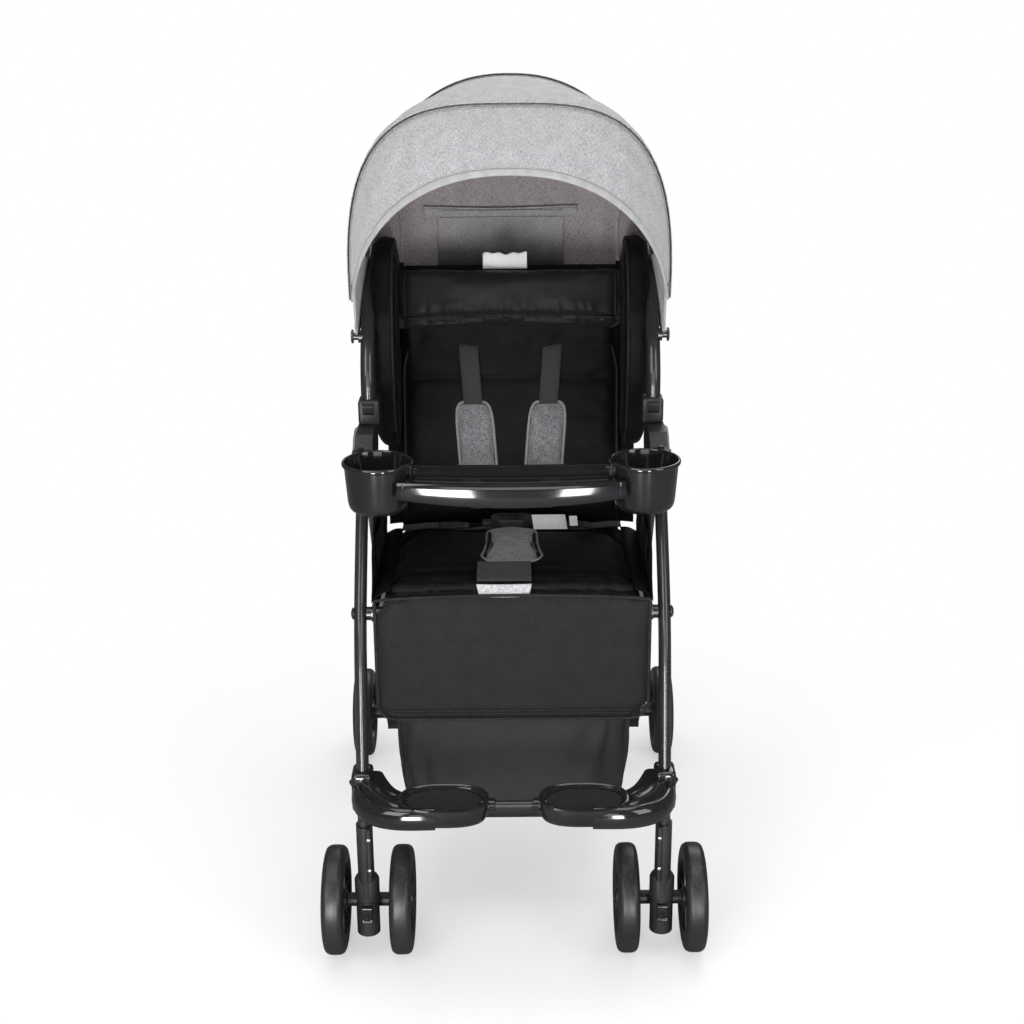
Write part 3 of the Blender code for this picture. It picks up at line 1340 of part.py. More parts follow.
def tray():
    """One moulding: the trough, a cup holder at each end and two ears. The left ear turns on its pin, and the
    right one is open behind so that it leaves its pin as the tray swings.
    """
    end = CUP_X - CUP_BASE_RADIUS + 0.006
    stations = [end * (2 * i / 8 - 1) for i in range(9)]
    trough = loft([tray_section(x) for x in stations])
    joined, cut = [], []
    for _, sign in SIDES:
        joined.append(cup_body(sign, 0, CUP_BOTTOM, CUP_TOP))
        rim_ends = [(sign * CUP_X, CUP_Y, height) for height in (CUP_TOP - CUP_LIP_HEIGHT, CUP_TOP)]
        joined.append(rod(*rim_ends, CUP_RIM_RADIUS + CUP_LIP, 24))
        joined.append(tray_ear(sign))
        cut.append(cup_body(sign, CUP_WALL, CUP_BOTTOM + CUP_WALL, CUP_TOP + 0.004))
    top = LUG_TOP + LUG_PIN_HEIGHT + 0.004
    bore = LUG_PIN_RADIUS + RUNNING
    cut.append(rod((LEG_X, LUG_Y, LUG_TOP - 0.004), (LEG_X, LUG_Y, top), bore, 16))
    slot = [
        Vector((-LEG_X - bore, LUG_Y - bore)),
        Vector((-LEG_X + bore, LUG_Y - bore)),
        Vector((-LEG_X + bore + 0.003, LUG_Y + EAR_RADIUS + 0.004)),
        Vector((-LEG_X - bore - 0.003, LUG_Y + EAR_RADIUS + 0.004)),
    ]
    cut.append(slab(rounded(slot, 0.003, 3), LUG_TOP - 0.004, top))
    piece("tray", trough, GLOSS_PLASTIC, "tray", joined=joined, cut=cut)


# Rear frame

def rear_leg_point(distance):
    """A point of the rear leg's centre line at a distance from the hinge."""
    angle = rear_leg_way(0)
    return Vector((REAR_LEG_X, HINGE_Y + distance * math.cos(angle), HINGE_Z + distance * math.sin(angle)))


LEG_LENGTH = math.hypot(WHEELBASE - HINGE_Y, WHEEL_RADIUS - HINGE_Z)
LEG_END = LEG_LENGTH - 0.022
LEG_THICK = 2 * REAR_LEG_RADIUS
CROSS_AT = LEG_LENGTH * (HINGE_Z - REAR_CROSS_Z) / (HINGE_Z - WHEEL_RADIUS)
BRACKET_GRIP = 0.062


def rear_frame():
    """Two round legs, each with a flattened top and an eye on its hinge, and the cross tube between them."""
    flat = HOUSING_OUTER_X - HOUSING_INNER_X - 2 * CHEEK - 0.0012
    middle_x = (HOUSING_INNER_X + HOUSING_OUTER_X) / 2
    shapes, eyes, bores = [], [], []
    for _, sign in SIDES:
        stations = [
            (0.0, flat, LEG_THICK),
            (0.050, flat, LEG_THICK),
            (0.075, LEG_THICK - 0.0015, LEG_THICK),
            (0.095, LEG_THICK, LEG_THICK),
            (LEG_END, LEG_THICK, LEG_THICK),
        ]
        path, outlines = [], []
        for distance, wide, deep in stations:
            point = rear_leg_point(distance)
            shift = middle_x - REAR_LEG_X if distance < 0.06 else 0.0
            path.append(Vector((sign * (point.x + shift), point.y, point.z)))
            outlines.append([(u * wide, v * deep) for u, v in round_outline(0.5)])
        shapes.append(sweep(path, outlines))
        eye_ends = [Vector((sign * (middle_x + half), HINGE_Y, HINGE_Z)) for half in (-flat / 2, flat / 2)]
        bore_ends = [Vector((sign * (middle_x + half), HINGE_Y, HINGE_Z)) for half in (-flat, flat)]
        eyes.append(rod(*eye_ends, HINGE_EYE_RADIUS, 20))
        bores.append(rod(*bore_ends, HINGE_PIN_RADIUS + RUNNING, 12))
    cross = rear_leg_point(CROSS_AT)
    tube = rod((-REAR_LEG_X, cross.y, cross.z), (REAR_LEG_X, cross.y, cross.z), REAR_CROSS_RADIUS, 16)
    piece("rear_frame", tube, BLACK_PAINT, "rear_frame", joined=shapes + eyes, cut=bores)


def round_outline(radius, sides=12):
    turns = [2 * math.pi * (i + 0.5) / sides for i in range(sides)]
    return [(radius * math.cos(turn), radius * math.sin(turn)) for turn in turns]


def rear_bracket(side_name, sign):
    """The moulding at the leg's foot: a socket for the leg, the axle's bearing and a spacer to the wheel."""
    top = rear_leg_point(LEG_END - BRACKET_GRIP)
    along = (REAR_AXLE.yz - HINGE.yz).normalized()
    off = Vector((-along.y, along.x))
    axle = REAR_AXLE.yz
    outline = [
        top.yz - off * 0.0125,
        axle - off * 0.016 - along * 0.012,
        axle - off * 0.012 + along * 0.020,
        axle + Vector((0.000, -0.034)),
        axle + Vector((0.012, -0.020)),
        axle + Vector((0.016, 0.010)),
        Vector((PEDAL_PIVOT_Y + 0.012, PEDAL_PIVOT_Z + 0.004)),
        Vector((PEDAL_PIVOT_Y + 0.002, PEDAL_PIVOT_Z + 0.014)),
        top.yz + off * 0.0125,
    ]
    shell = plate(rounded(outline, 0.006, 2), BRACKET_INNER_X, BRACKET_OUTER_X)
    spacer_end = REAR_WHEEL_X - REAR_WHEEL_WIDTH / 2 - 0.0005 - GAP
    spacer = cross_rod(axle, BRACKET_OUTER_X - 0.004, spacer_end, SPACER_RADIUS)
    peg_end = BRACKET_INNER_X - PEDAL_WIDTH - 2 * GAP - 0.002
    pivot = (PEDAL_PIVOT_Y, PEDAL_PIVOT_Z)
    peg = cross_rod(pivot, BRACKET_INNER_X + 0.004, peg_end, PEDAL_PEG_RADIUS)
    peg_head = cross_rod(pivot, peg_end, peg_end + 0.002, PEDAL_PEG_RADIUS + 0.0025)
    socket = sweep(
        [rear_leg_point(LEG_END - BRACKET_GRIP - 0.030), rear_leg_point(LEG_END + GAP)],
        round_outline(REAR_LEG_RADIUS + GAP),
    )
    bore = cross_rod(axle, BRACKET_INNER_X - 0.01, spacer_end + 0.01, REAR_AXLE_RADIUS + GAP)
    name = f"rear_bracket_{side_name}"
    piece(name, shell, MATT_PLASTIC, "rear_frame", sign, [spacer, peg, peg_head], [socket, bore])


def rear_axle():
    """One steel rod from wheel to wheel with a head outside each."""
    wheel_face = REAR_WHEEL_X + REAR_WHEEL_WIDTH / 2 + 0.0005
    shaft = cross_rod(REAR_AXLE.yz, -wheel_face - 0.001, wheel_face + 0.001, REAR_AXLE_RADIUS)
    heads = []
    for _, sign in SIDES:
        head_ends = [sign * (wheel_face + away) for away in (GAP, GAP + 0.002)]
        heads.append(cross_rod(REAR_AXLE.yz, *head_ends, AXLE_HEAD_RADIUS))
    piece("rear_axle", shaft, STEEL, "rear_frame", joined=heads)


def brake_pedal(side_name, sign):
    """A foot pedal on a peg beside the bracket."""
    high_x = BRACKET_INNER_X - GAP
    low_x = high_x - PEDAL_WIDTH
    pivot = Vector((PEDAL_PIVOT_Y, PEDAL_PIVOT_Z))
    thick = PEDAL_THICKNESS
    outline = [
        pivot + Vector((-0.008, -0.005)),
        pivot + Vector((0.006, -0.007)),
        pivot + Vector((PEDAL_LENGTH - 0.010, -0.010)),
        pivot + Vector((PEDAL_LENGTH, -0.006)),
        pivot + Vector((PEDAL_LENGTH - 0.002, -0.006 + thick)),
        pivot + Vector((0.012, 0.004)),
        pivot + Vector((0.004, 0.008)),
        pivot + Vector((-0.007, 0.007)),
    ]
    pad = plate(rounded(outline, 0.004, 1), low_x, high_x)
    bore = cross_rod(pivot, low_x - 0.004, high_x + 0.004, PEDAL_PEG_RADIUS + RUNNING)
    name = f"brake_{side_name}"
    piece(f"brake_pedal_{side_name}", pad, MATT_PLASTIC, name, sign, cut=[bore])


# Basket

def basket_loop(shrink, height_front, height_rear, rear_y):
    """A rounded rectangle seen from above, whose height changes from front to rear."""
    half = BASKET_HALF_WIDTH - shrink
    front, rear = BASKET_FRONT_Y + shrink, rear_y - shrink
    corners = [Vector(p) for p in ((-half, front), (half, front), (half, rear), (-half, rear))]
    found = []
    for p in rounded(corners, BASKET_CORNER, 4):
        t = (p.y - front) / (rear - front)
        found.append((p.x, p.y, height_front + (height_rear - height_front) * t))
    return found


def basket():
    """A cloth bin with a low rear, which hooks on the rear frame's cross tube and the seat's front tube."""
    cross = rear_leg_point(CROSS_AT)
    rear_y = cross.y - REAR_CROSS_RADIUS - GAP
    rear_top = REAR_CROSS_Z + 0.003
    floor = BASKET_FLOOR
    wall = BASKET_WALL
    loops = [
        basket_loop(0.016, floor, floor, rear_y),
        basket_loop(0.004, floor + 0.012, floor + 0.010, rear_y),
        basket_loop(0.0, BASKET_FRONT_TOP, rear_top, rear_y),
        basket_loop(wall, BASKET_FRONT_TOP, rear_top, rear_y),
        basket_loop(0.004 + wall, floor + 0.012 + wall, floor + 0.010 + wall, rear_y),
        basket_loop(0.016 + wall, floor + wall, floor + wall, rear_y),
    ]
    piece("basket", loft(loops), BLACK_CLOTH)


for side_name, sign in SIDES:
    front_wheels(side_name, sign)
    rear_wheel(side_name, sign)
    caster(side_name, sign)
    swivel_lock(side_name, sign)
    front_leg(side_name, sign)
    caster_socket(side_name, sign)
    footrest(side_name, sign)
    hinge_housing(side_name, sign)
    hinge_cover(side_name, sign)
    fold_latch(side_name, sign)
    seat_side(side_name, sign)
    side_wing(side_name, sign)
    shoulder_harness(side_name, sign)
    rear_bracket(side_name, sign)
    brake_pedal(side_name, sign)

footrest_bar()
handle()
seat_cross_tube()
seat_frame()
seat()
calf_panel()
backrest()
head_pillow()
harness_on_seat()
hood_bow("hood_rear_bow", REAR_BOW_ANGLE, 0, "frame")
hood_panel("hood_roof", REAR_BOW_ANGLE, MID_BOW_ANGLE, 0, "frame")
hood_bow("hood_middle_bow", MID_BOW_ANGLE, 1, "hood_middle")
hood_panel("hood_middle_panel", MID_BOW_ANGLE, FRONT_BOW_ANGLE, 1, "hood_middle")
hood_bow("hood_front_bow", FRONT_BOW_ANGLE, 2, "hood_front")
hood_panel("hood_visor", FRONT_BOW_ANGLE, VISOR_ANGLE, 2, "hood_front")
rear_flap()
tray()
rear_frame()
rear_axle()
basket()
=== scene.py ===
"""Looks of the folding stroller: finishes, soft goods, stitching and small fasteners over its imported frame.

Metres, +Z up. The stroller faces -Y. Places are written from the front axle, as in the frame's own drawing.
"""

import json
import math

import bmesh
import bpy
from mathutils import Matrix, Vector, noise

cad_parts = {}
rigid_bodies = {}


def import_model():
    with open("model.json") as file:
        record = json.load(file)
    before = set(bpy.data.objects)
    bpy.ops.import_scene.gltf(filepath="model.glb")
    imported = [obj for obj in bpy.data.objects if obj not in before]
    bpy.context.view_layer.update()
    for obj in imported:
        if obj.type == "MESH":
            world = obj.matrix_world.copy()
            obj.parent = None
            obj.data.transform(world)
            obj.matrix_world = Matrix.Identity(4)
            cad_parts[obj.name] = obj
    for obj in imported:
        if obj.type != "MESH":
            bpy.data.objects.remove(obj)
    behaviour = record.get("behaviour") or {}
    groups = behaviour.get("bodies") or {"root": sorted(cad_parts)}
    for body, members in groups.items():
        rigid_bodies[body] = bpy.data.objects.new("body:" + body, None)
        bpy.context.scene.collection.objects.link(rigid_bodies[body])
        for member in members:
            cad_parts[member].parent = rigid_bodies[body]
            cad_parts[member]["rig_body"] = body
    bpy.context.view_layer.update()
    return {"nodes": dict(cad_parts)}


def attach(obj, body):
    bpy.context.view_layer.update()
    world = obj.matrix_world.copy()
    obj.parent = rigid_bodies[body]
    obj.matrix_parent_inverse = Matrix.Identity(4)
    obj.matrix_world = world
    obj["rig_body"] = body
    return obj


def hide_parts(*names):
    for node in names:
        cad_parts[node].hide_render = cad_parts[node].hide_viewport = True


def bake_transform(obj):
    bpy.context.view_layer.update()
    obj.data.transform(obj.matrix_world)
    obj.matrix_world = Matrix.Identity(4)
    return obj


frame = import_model()
SIDES = (("left", 1), ("right", -1))
AXLE_Y = -0.2495  # where the front axle lies in the frame


def at(x, y, z):
    """A place given from the front axle."""
    return Vector((x, y + AXLE_Y, z))


# Shader groups

class Wiring:
    """Adds nodes to a material or a group and joins them."""

    def __init__(self, tree):
        self.tree = tree

    def add(self, kind, settings=(), **inputs):
        node = self.tree.nodes.new(kind)
        for label, value in dict(settings).items():
            setattr(node, label, value)
        for label, value in inputs.items():
            self.feed(node, label.replace("_", " "), value)
        return node

    def feed(self, node, label, value):
        socket = node.inputs[int(label[1:])] if label[0] == "#" else node.inputs[label]
        if isinstance(value, bpy.types.NodeSocket):
            self.tree.links.new(value, socket)
        else:
            socket.default_value = value

    def sum(self, operation, first, second, clamp=False):
        node = self.tree.nodes.new("ShaderNodeMath")
        node.operation = operation
        node.use_clamp = clamp
        self.feed(node, "#0", first)
        self.feed(node, "#1", second)
        return node.outputs[0]

    def mix(self, share, first, second):
        node = self.tree.nodes.new("ShaderNodeMix")
        node.data_type = "RGBA"
        self.feed(node, "#0", share)
        self.feed(node, "#6", first)
        self.feed(node, "#7", second)
        return node.outputs[2]

    def blend(self, share, first, second):
        node = self.tree.nodes.new("ShaderNodeMix")
        self.feed(node, "#0", share)
        self.feed(node, "#2", first)
        self.feed(node, "#3", second)
        return node.outputs[0]

    def span(self, value, low, high, to_low=0.0, to_high=1.0):
        node = self.add("ShaderNodeMapRange", Value=value)
        for label, number in (("From Min", low), ("From Max", high), ("To Min", to_low), ("To Max", to_high)):
            node.inputs[label].default_value = number
        return node.outputs[0]

    def stretch(self, vector, scale):
        return self.add("ShaderNodeMapping", Vector=vector, Scale=scale).outputs[0]


def group(name, inputs, outputs):
    """An empty node group with its sockets, its wiring, and its input and output nodes."""
    tree = bpy.data.node_groups.new(name, "ShaderNodeTree")
    kinds = {"vector": "NodeSocketVector", "number": "NodeSocketFloat"}
    for label, kind, value in inputs:
        socket = tree.interface.new_socket(label, in_out="INPUT", socket_type=kinds[kind])
        if value is not None:
            socket.default_value = value
    for label in outputs:
        tree.interface.new_socket(label, in_out="OUTPUT", socket_type="NodeSocketFloat")
    wires = Wiring(tree)
    return tree, wires, wires.add("NodeGroupInput").outputs, wires.add("NodeGroupOutput")


def weave_group():
    """Plain weave: warp and weft threads that pass over and under each other."""
    tree, w, given, out = group(
        "plain_weave", (("Vector", "vector", None), ("Threads", "number", 900.0)), ("Height", "Thread")
    )
    parts = w.add("ShaderNodeSeparateXYZ", Vector=given["Vector"]).outputs
    across = w.sum("MULTIPLY", parts[0], given["Threads"])
    along = w.sum("MULTIPLY", parts[1], given["Threads"])
    warp = w.sum("ABSOLUTE", w.sum("SINE", w.sum("MULTIPLY", across, math.pi), 0), 0)
    weft = w.sum("ABSOLUTE", w.sum("SINE", w.sum("MULTIPLY", along, math.pi), 0), 0)
    turn = w.sum("ADD", w.sum("FLOOR", across, 0), w.sum("FLOOR", along, 0))
    over = w.sum("ABSOLUTE", w.sum("MODULO", turn, 2.0), 0)
    height = w.blend(over, w.sum("MULTIPLY", warp, 0.55), weft)
    w.feed(out, "Height", w.sum("ADD", height, w.sum("MULTIPLY", warp, 0.25)))
    w.feed(out, "Thread", over)
    return tree


def melange_group():
    """Yarn spun from lighter and darker fibres, which shows as short streaks along both threads."""
    tree, w, given, out = group("melange_yarn", (("Vector", "vector", None),), ("Streaks", "Cloud"))
    vector = given["Vector"]
    weft = w.add("ShaderNodeTexNoise", Vector=w.stretch(vector, (190, 900, 190)), Scale=1.0, Detail=2.0).outputs[0]
    warp = w.add("ShaderNodeTexNoise", Vector=w.stretch(vector, (900, 170, 170)), Scale=1.0, Detail=2.0).outputs[0]
    cloud = w.add("ShaderNodeTexNoise", Vector=vector, Scale=45.0, Detail=3.0).outputs[0]
    both = w.sum("ADD", w.span(weft, 0.36, 0.64), w.span(warp, 0.36, 0.64))
    w.feed(out, "Streaks", w.sum("MULTIPLY", both, 0.5, True))
    w.feed(out, "Cloud", w.span(cloud, 0.3, 0.7))
    return tree


def grain_group():
    """The fine grain of a moulded or coated surface, with a slow unevenness under it."""
    tree, w, given, out = group(
        "surface_grain", (("Vector", "vector", None), ("Fineness", "number", 900.0)), ("Height", "Cloud")
    )
    fine = w.add("ShaderNodeTexNoise", Vector=given["Vector"], Scale=given["Fineness"], Detail=3.0).outputs[0]
    slow = w.add("ShaderNodeTexNoise", Vector=given["Vector"], Scale=14.0, Detail=3.0).outputs[0]
    w.feed(out, "Height", fine)
    w.feed(out, "Cloud", slow)
    return tree


def scuff_group():
    """Handling marks: thin scratches in a few patches."""
    tree, w, given, out = group(
        "handling_marks", (("Vector", "vector", None), ("Amount", "number", 0.3)), ("Mask",)
    )
    bent = w.add("ShaderNodeTexNoise", Vector=given["Vector"], Scale=7.0, Detail=2.0, Distortion=0.6).outputs[0]
    drawn = w.stretch(given["Vector"], (900, 60, 90))
    lines = w.add("ShaderNodeTexNoise", Vector=drawn, Scale=1.0, Detail=1.0).outputs[0]
    patch = w.span(bent, 0.48, 0.66)
    thin = w.span(lines, 0.62, 0.70)
    w.feed(out, "Mask", w.sum("MULTIPLY", w.sum("MULTIPLY", patch, thin), given["Amount"], True))
    return tree


def dust_group():
    """Light dust, which settles where the surface faces up."""
    tree, w, given, out = group(
        "settled_dust", (("Vector", "vector", None), ("Amount", "number", 0.1)), ("Mask",)
    )
    facing = w.add("ShaderNodeSeparateXYZ", Vector=w.add("ShaderNodeNewGeometry").outputs["Normal"]).outputs[2]
    specks = w.add("ShaderNodeTexNoise", Vector=given["Vector"], Scale=260.0, Detail=4.0).outputs[0]
    lying = w.sum("MULTIPLY", w.span(facing, 0.1, 0.9), w.span(specks, 0.45, 0.75))
    w.feed(out, "Mask", w.sum("MULTIPLY", lying, given["Amount"], True))
    return tree


WEAVE, MELANGE, GRAIN = weave_group(), melange_group(), grain_group()
SCUFF, DUST = scuff_group(), dust_group()


def use(w, tree, **inputs):
    """Places a shader group and feeds it, and gives back its outputs."""
    node = w.tree.nodes.new("ShaderNodeGroup")
    node.node_tree = tree
    for label, value in inputs.items():
        w.feed(node, label, value)
    return node.outputs


def new_finish(name):
    """A material with its wiring and its Principled shader."""
    finish = bpy.data.materials.new(name)
    finish.use_nodes = True
    return finish, Wiring(finish.node_tree), finish.node_tree.nodes["Principled BSDF"]


def hard_finish(name, colour, rough, grain=(900.0, 0.00003), scuffs=0.25, dust=0.06, steady=()):
    """Paint, plastic, rubber or metal: grain, a slow change of gloss, handling marks and dust."""
    finish, w, shader = new_finish(name)
    where = w.add("ShaderNodeTexCoord").outputs["Object"]
    surface = use(w, GRAIN, Vector=where, Fineness=grain[0])
    marks = use(w, SCUFF, Vector=where, Amount=scuffs)["Mask"]
    dusty = use(w, DUST, Vector=where, Amount=dust)["Mask"]
    lighter = tuple(min(1.0, c * 2.2 + 0.03) for c in colour)
    tone = w.mix(w.span(surface["Cloud"], 0.35, 0.65, 0.0, 0.12), (*colour, 1), (*lighter, 1))
    tone = w.mix(marks, tone, (*lighter, 1))
    tone = w.mix(dusty, tone, (0.33, 0.31, 0.29, 1))
    w.feed(shader, "Base Color", tone)
    gloss = w.span(surface["Cloud"], 0.3, 0.7, rough * 0.88, min(1.0, rough * 1.15))
    gloss = w.sum("ADD", gloss, w.sum("MULTIPLY", marks, 0.25))
    w.feed(shader, "Roughness", w.sum("ADD", gloss, w.sum("MULTIPLY", dusty, 0.5), True))
    bump = w.add("ShaderNodeBump", Height=surface["Height"], Strength=0.6, Distance=grain[1])
    w.feed(shader, "Normal", bump.outputs[0])
    for label, value in dict(steady).items():
        shader.inputs[label].default_value = value
    return finish


def cloth_finish(name, light, dark, threads, rough=0.85, depth=0.0002, on_uv=False, turn=(0, 0, 0), streaks=1.0,
                 steady=(), painted_shade_span=None):
    """Woven cloth: threads over and under, with the yarn's own lighter and darker fibres, painted shade in the dips
    between the threads, and, where a span is given, painted shade that darkens it towards one end.
    """
    finish, w, shader = new_finish(name)
    where = w.add("ShaderNodeTexCoord").outputs["UV" if on_uv else "Object"]
    where = w.add("ShaderNodeMapping", Vector=where, Rotation=[math.radians(a) for a in turn]).outputs[0]
    weave = use(w, WEAVE, Vector=where, Threads=threads)
    yarn = use(w, MELANGE, Vector=where)
    share = w.sum("MULTIPLY", yarn["Streaks"], streaks)
    share = w.sum("ADD", share, w.span(yarn["Cloud"], 0, 1, -0.10, 0.10))
    share = w.sum("ADD", share, w.span(weave["Thread"], 0, 1, -0.05, 0.05), True)
    tone = w.mix(share, (*light, 1), (*dark, 1))
    # Painted shade: the dips between the threads are painted darker, down towards half the dark yarn colour.
    dip = w.span(weave["Height"], 0.0, 0.9, 0.55, 0.0)
    tone = w.mix(dip, tone, (*(c * 0.5 for c in dark), 1))
    # Painted shade: the colour darkens to near black along the pattern's v, between the span's two values.
    if painted_shade_span:
        along = w.add("ShaderNodeSeparateXYZ", Vector=where).outputs[1]
        tone = w.mix(w.span(along, *painted_shade_span, 0.0, 0.92), tone, (0.006, 0.006, 0.006, 1))
    w.feed(shader, "Base Color", tone)
    w.feed(shader, "Roughness", w.span(yarn["Cloud"], 0, 1, rough * 0.92, min(1.0, rough * 1.06)))
    height = w.sum("ADD", weave["Height"], w.sum("MULTIPLY", yarn["Streaks"], 0.4))
    bump = w.add("ShaderNodeBump", Height=height, Strength=0.7, Distance=depth)
    w.feed(shader, "Normal", bump.outputs[0])
    shader.inputs["Specular IOR Level"].default_value = 0.13
    for label, value in dict(steady).items():
        shader.inputs[label].default_value = value
    return finish


def ribbed_finish(name, colour, ribs, rough=0.7):
    """Webbing: ribs along its length, crossed by fine weft, on the piece's own UV map in metres, with the ribs' raised
    tops painted lighter than their hollows as painted highlight and shade.
    """
    finish, w, shader = new_finish(name)
    where = w.add("ShaderNodeTexCoord").outputs["UV"]
    parts = w.add("ShaderNodeSeparateXYZ", Vector=where).outputs
    rib = w.sum("ABSOLUTE", w.sum("SINE", w.sum("MULTIPLY", parts[0], ribs * math.pi), 0), 0)
    slant = w.sum("ADD", w.sum("MULTIPLY", parts[1], 700.0 * math.pi), w.sum("MULTIPLY", rib, 1.2))
    weft = w.sum("ABSOLUTE", w.sum("SINE", slant, 0), 0)
    height = w.sum("ADD", rib, w.sum("MULTIPLY", weft, 0.5))
    yarn = use(w, MELANGE, Vector=where)
    # Painted highlight and shade: the raised ribs are painted lighter and the hollows stay darker.
    lighter = tuple(c * 2.6 + 0.01 for c in colour)
    share = w.sum("MULTIPLY", w.span(height, 0.4, 1.5), w.span(yarn["Cloud"], 0, 1, 0.5, 1.0))
    w.feed(shader, "Base Color", w.mix(share, (*colour, 1), (*lighter, 1)))
    w.feed(shader, "Roughness", w.span(yarn["Cloud"], 0, 1, rough * 0.9, rough * 1.1))
    w.feed(shader, "Normal", w.add("ShaderNodeBump", Height=height, Strength=0.8, Distance=0.0003).outputs[0])
    shader.inputs["Sheen Weight"].default_value = 0.15
    return finish


GLOSSY = {"Coat Weight": 0.6, "Coat Roughness": 0.06}
SHEEN = {"Sheen Weight": 0.25, "Sheen Roughness": 0.4}

BLACK_PAINT = hard_finish("black_powder_coat", (0.012, 0.012, 0.013), 0.28, (260.0, 0.00006), 0.2, 0.05, GLOSSY)
MOULDED = hard_finish("moulded_plastic", (0.014, 0.014, 0.015), 0.42, (1400.0, 0.00005), 0.3, 0.08)
GLOSS = hard_finish("gloss_plastic", (0.006, 0.006, 0.007), 0.10, (60.0, 0.00004), 0.25, 0.04, GLOSSY)
SILVER = hard_finish("silver_paint", (0.36, 0.37, 0.39), 0.34, (2200.0, 0.00002), 0.2, 0.05, {"Metallic": 0.55})
TREAD = hard_finish("foam_tyre", (0.012, 0.012, 0.013), 0.36, (700.0, 0.00006), 0.3, 0.06)
HUB = hard_finish("wheel_hub", (0.011, 0.011, 0.012), 0.30, (1100.0, 0.00004), 0.3, 0.08)
ZINC = hard_finish("zinc_plate", (0.50, 0.51, 0.52), 0.28, (500.0, 0.00003), 0.3, 0.05, {"Metallic": 1.0})
FOAM = hard_finish("foam_grip", (0.014, 0.014, 0.014), 0.90, (620.0, 0.0005), 0.1, 0.15)
BOARD = hard_finish("fibreboard", (0.030, 0.028, 0.026), 0.75, (900.0, 0.0002), 0.3, 0.10)
SEAM_SHINE = hard_finish("polished_edge", (0.10, 0.10, 0.11), 0.12, (60.0, 0.00002), 0.1, 0.02, {"Metallic": 0.8})
THREAD = hard_finish("black_thread", (0.020, 0.020, 0.021), 0.60, (1800.0, 0.00005), 0.0, 0.0)
GREY_THREAD = hard_finish("grey_thread", (0.25, 0.25, 0.26), 0.70, (1800.0, 0.00005), 0.0, 0.0)

GREY_LIGHT, GREY_DARK = (0.62, 0.615, 0.63), (0.22, 0.22, 0.23)
MELANGE_HOOD = cloth_finish("grey_melange", GREY_LIGHT, GREY_DARK, 780.0, on_uv=True, steady=SHEEN)
LINING = cloth_finish("mauve_lining", (0.44, 0.40, 0.415), (0.16, 0.14, 0.15), 700.0, on_uv=True, streaks=0.9)
MELANGE_PAD = cloth_finish(
    "grey_melange_pad", (0.27, 0.27, 0.28), (0.075, 0.075, 0.08), 780.0, turn=(90, 0, 0), steady=SHEEN
)
MELANGE_SEAT = cloth_finish("grey_melange_seat", (0.34, 0.34, 0.35), (0.10, 0.10, 0.105), 780.0, steady=SHEEN)
OXFORD = cloth_finish(
    "black_oxford", (0.0060, 0.0056, 0.0064), (0.0024, 0.0022, 0.0026), 1100.0, rough=0.62, depth=0.00012, streaks=0.6,
    steady={"Sheen Weight": 0.02, "Sheen Roughness": 0.3}
)
OXFORD_UPRIGHT = cloth_finish(
    "black_oxford_upright", (0.0060, 0.0056, 0.0064), (0.0024, 0.0022, 0.0026), 1100.0, rough=0.62, depth=0.00012,
    turn=(90, 0, 0), streaks=0.6, steady={"Sheen Weight": 0.02, "Sheen Roughness": 0.3}
)
SATIN = cloth_finish(
    "black_satin", (0.0155, 0.015, 0.017), (0.0065, 0.0065, 0.007), 1500.0, rough=0.45, depth=0.00006,
    turn=(90, 0, 0), streaks=0.5, steady={"Sheen Weight": 0.02}
)
# Painted light: a copy of the black oxford painted lighter, for the light and sheen that the calf panel's face catches.
CALF_CLOTH_PAINTED_LIT = cloth_finish(
    "black_oxford_painted_lit", (0.0165, 0.016, 0.0175), (0.0075, 0.0072, 0.008), 1100.0, rough=0.62, depth=0.00012,
    turn=(90, 0, 0), streaks=0.6, steady={"Sheen Weight": 0.02, "Sheen Roughness": 0.3}
)
# Painted light: a copy of the black cloth painted lighter, for the sheen that the basket's sloping front catches.
BIN_CLOTH_PAINTED_LIT = cloth_finish(
    "bin_cloth_painted_lit", (0.030, 0.029, 0.031), (0.015, 0.0145, 0.0155), 900.0, rough=0.50, depth=0.00010,
    turn=(90, 0, 0), streaks=0.4, steady={"Sheen Weight": 0.02, "Sheen Roughness": 0.3}
)
WEBBING = ribbed_finish("black_webbing", (0.006, 0.006, 0.0065), 420.0)
BINDING = ribbed_finish("pale_binding", (0.21, 0.21, 0.215), 900.0, 0.85)
TAG = cloth_finish("white_tag", (0.86, 0.86, 0.85), (0.70, 0.70, 0.69), 2400.0, depth=0.00003, on_uv=True)


# Making pieces

def piece(name, mesh, finish, body, stands_for=(), sharp=38, extra=()):
    """A finished bmesh becomes a piece that rides on a body, or on none yet, and may stand for frame nodes."""
    data = bpy.data.meshes.new(name)
    mesh.to_mesh(data)
    mesh.free()
    data.shade_smooth()
    if sharp:
        data.set_sharp_from_angle(angle=math.radians(sharp))
    for coat in (finish, *extra):
        data.materials.append(coat)
    made = bpy.data.objects.new(name, data)
    bpy.context.scene.collection.objects.link(made)
    if body:
        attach(made, body)
    if stands_for:
        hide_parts(*stands_for)
    return made


def tidy(mesh, distance=1e-5):
    """Merges doubles and turns the faces outwards."""
    bmesh.ops.remove_doubles(mesh, verts=mesh.verts, dist=distance)
    bmesh.ops.recalc_face_normals(mesh, faces=mesh.faces)
    return mesh


def mirrored(mesh, sign):
    """The right side's pieces are the left side's, turned over."""
    if sign < 0:
        bmesh.ops.transform(mesh, matrix=Matrix.Diagonal((-1, 1, 1, 1)), verts=mesh.verts)
        bmesh.ops.reverse_faces(mesh, faces=mesh.faces)
    return mesh


def add_to(mesh, other):
    """Puts another bmesh's shape into this one."""
    data = bpy.data.meshes.new("part")
    other.to_mesh(data)
    other.free()
    mesh.from_mesh(data)
    bpy.data.meshes.remove(data)
    return mesh


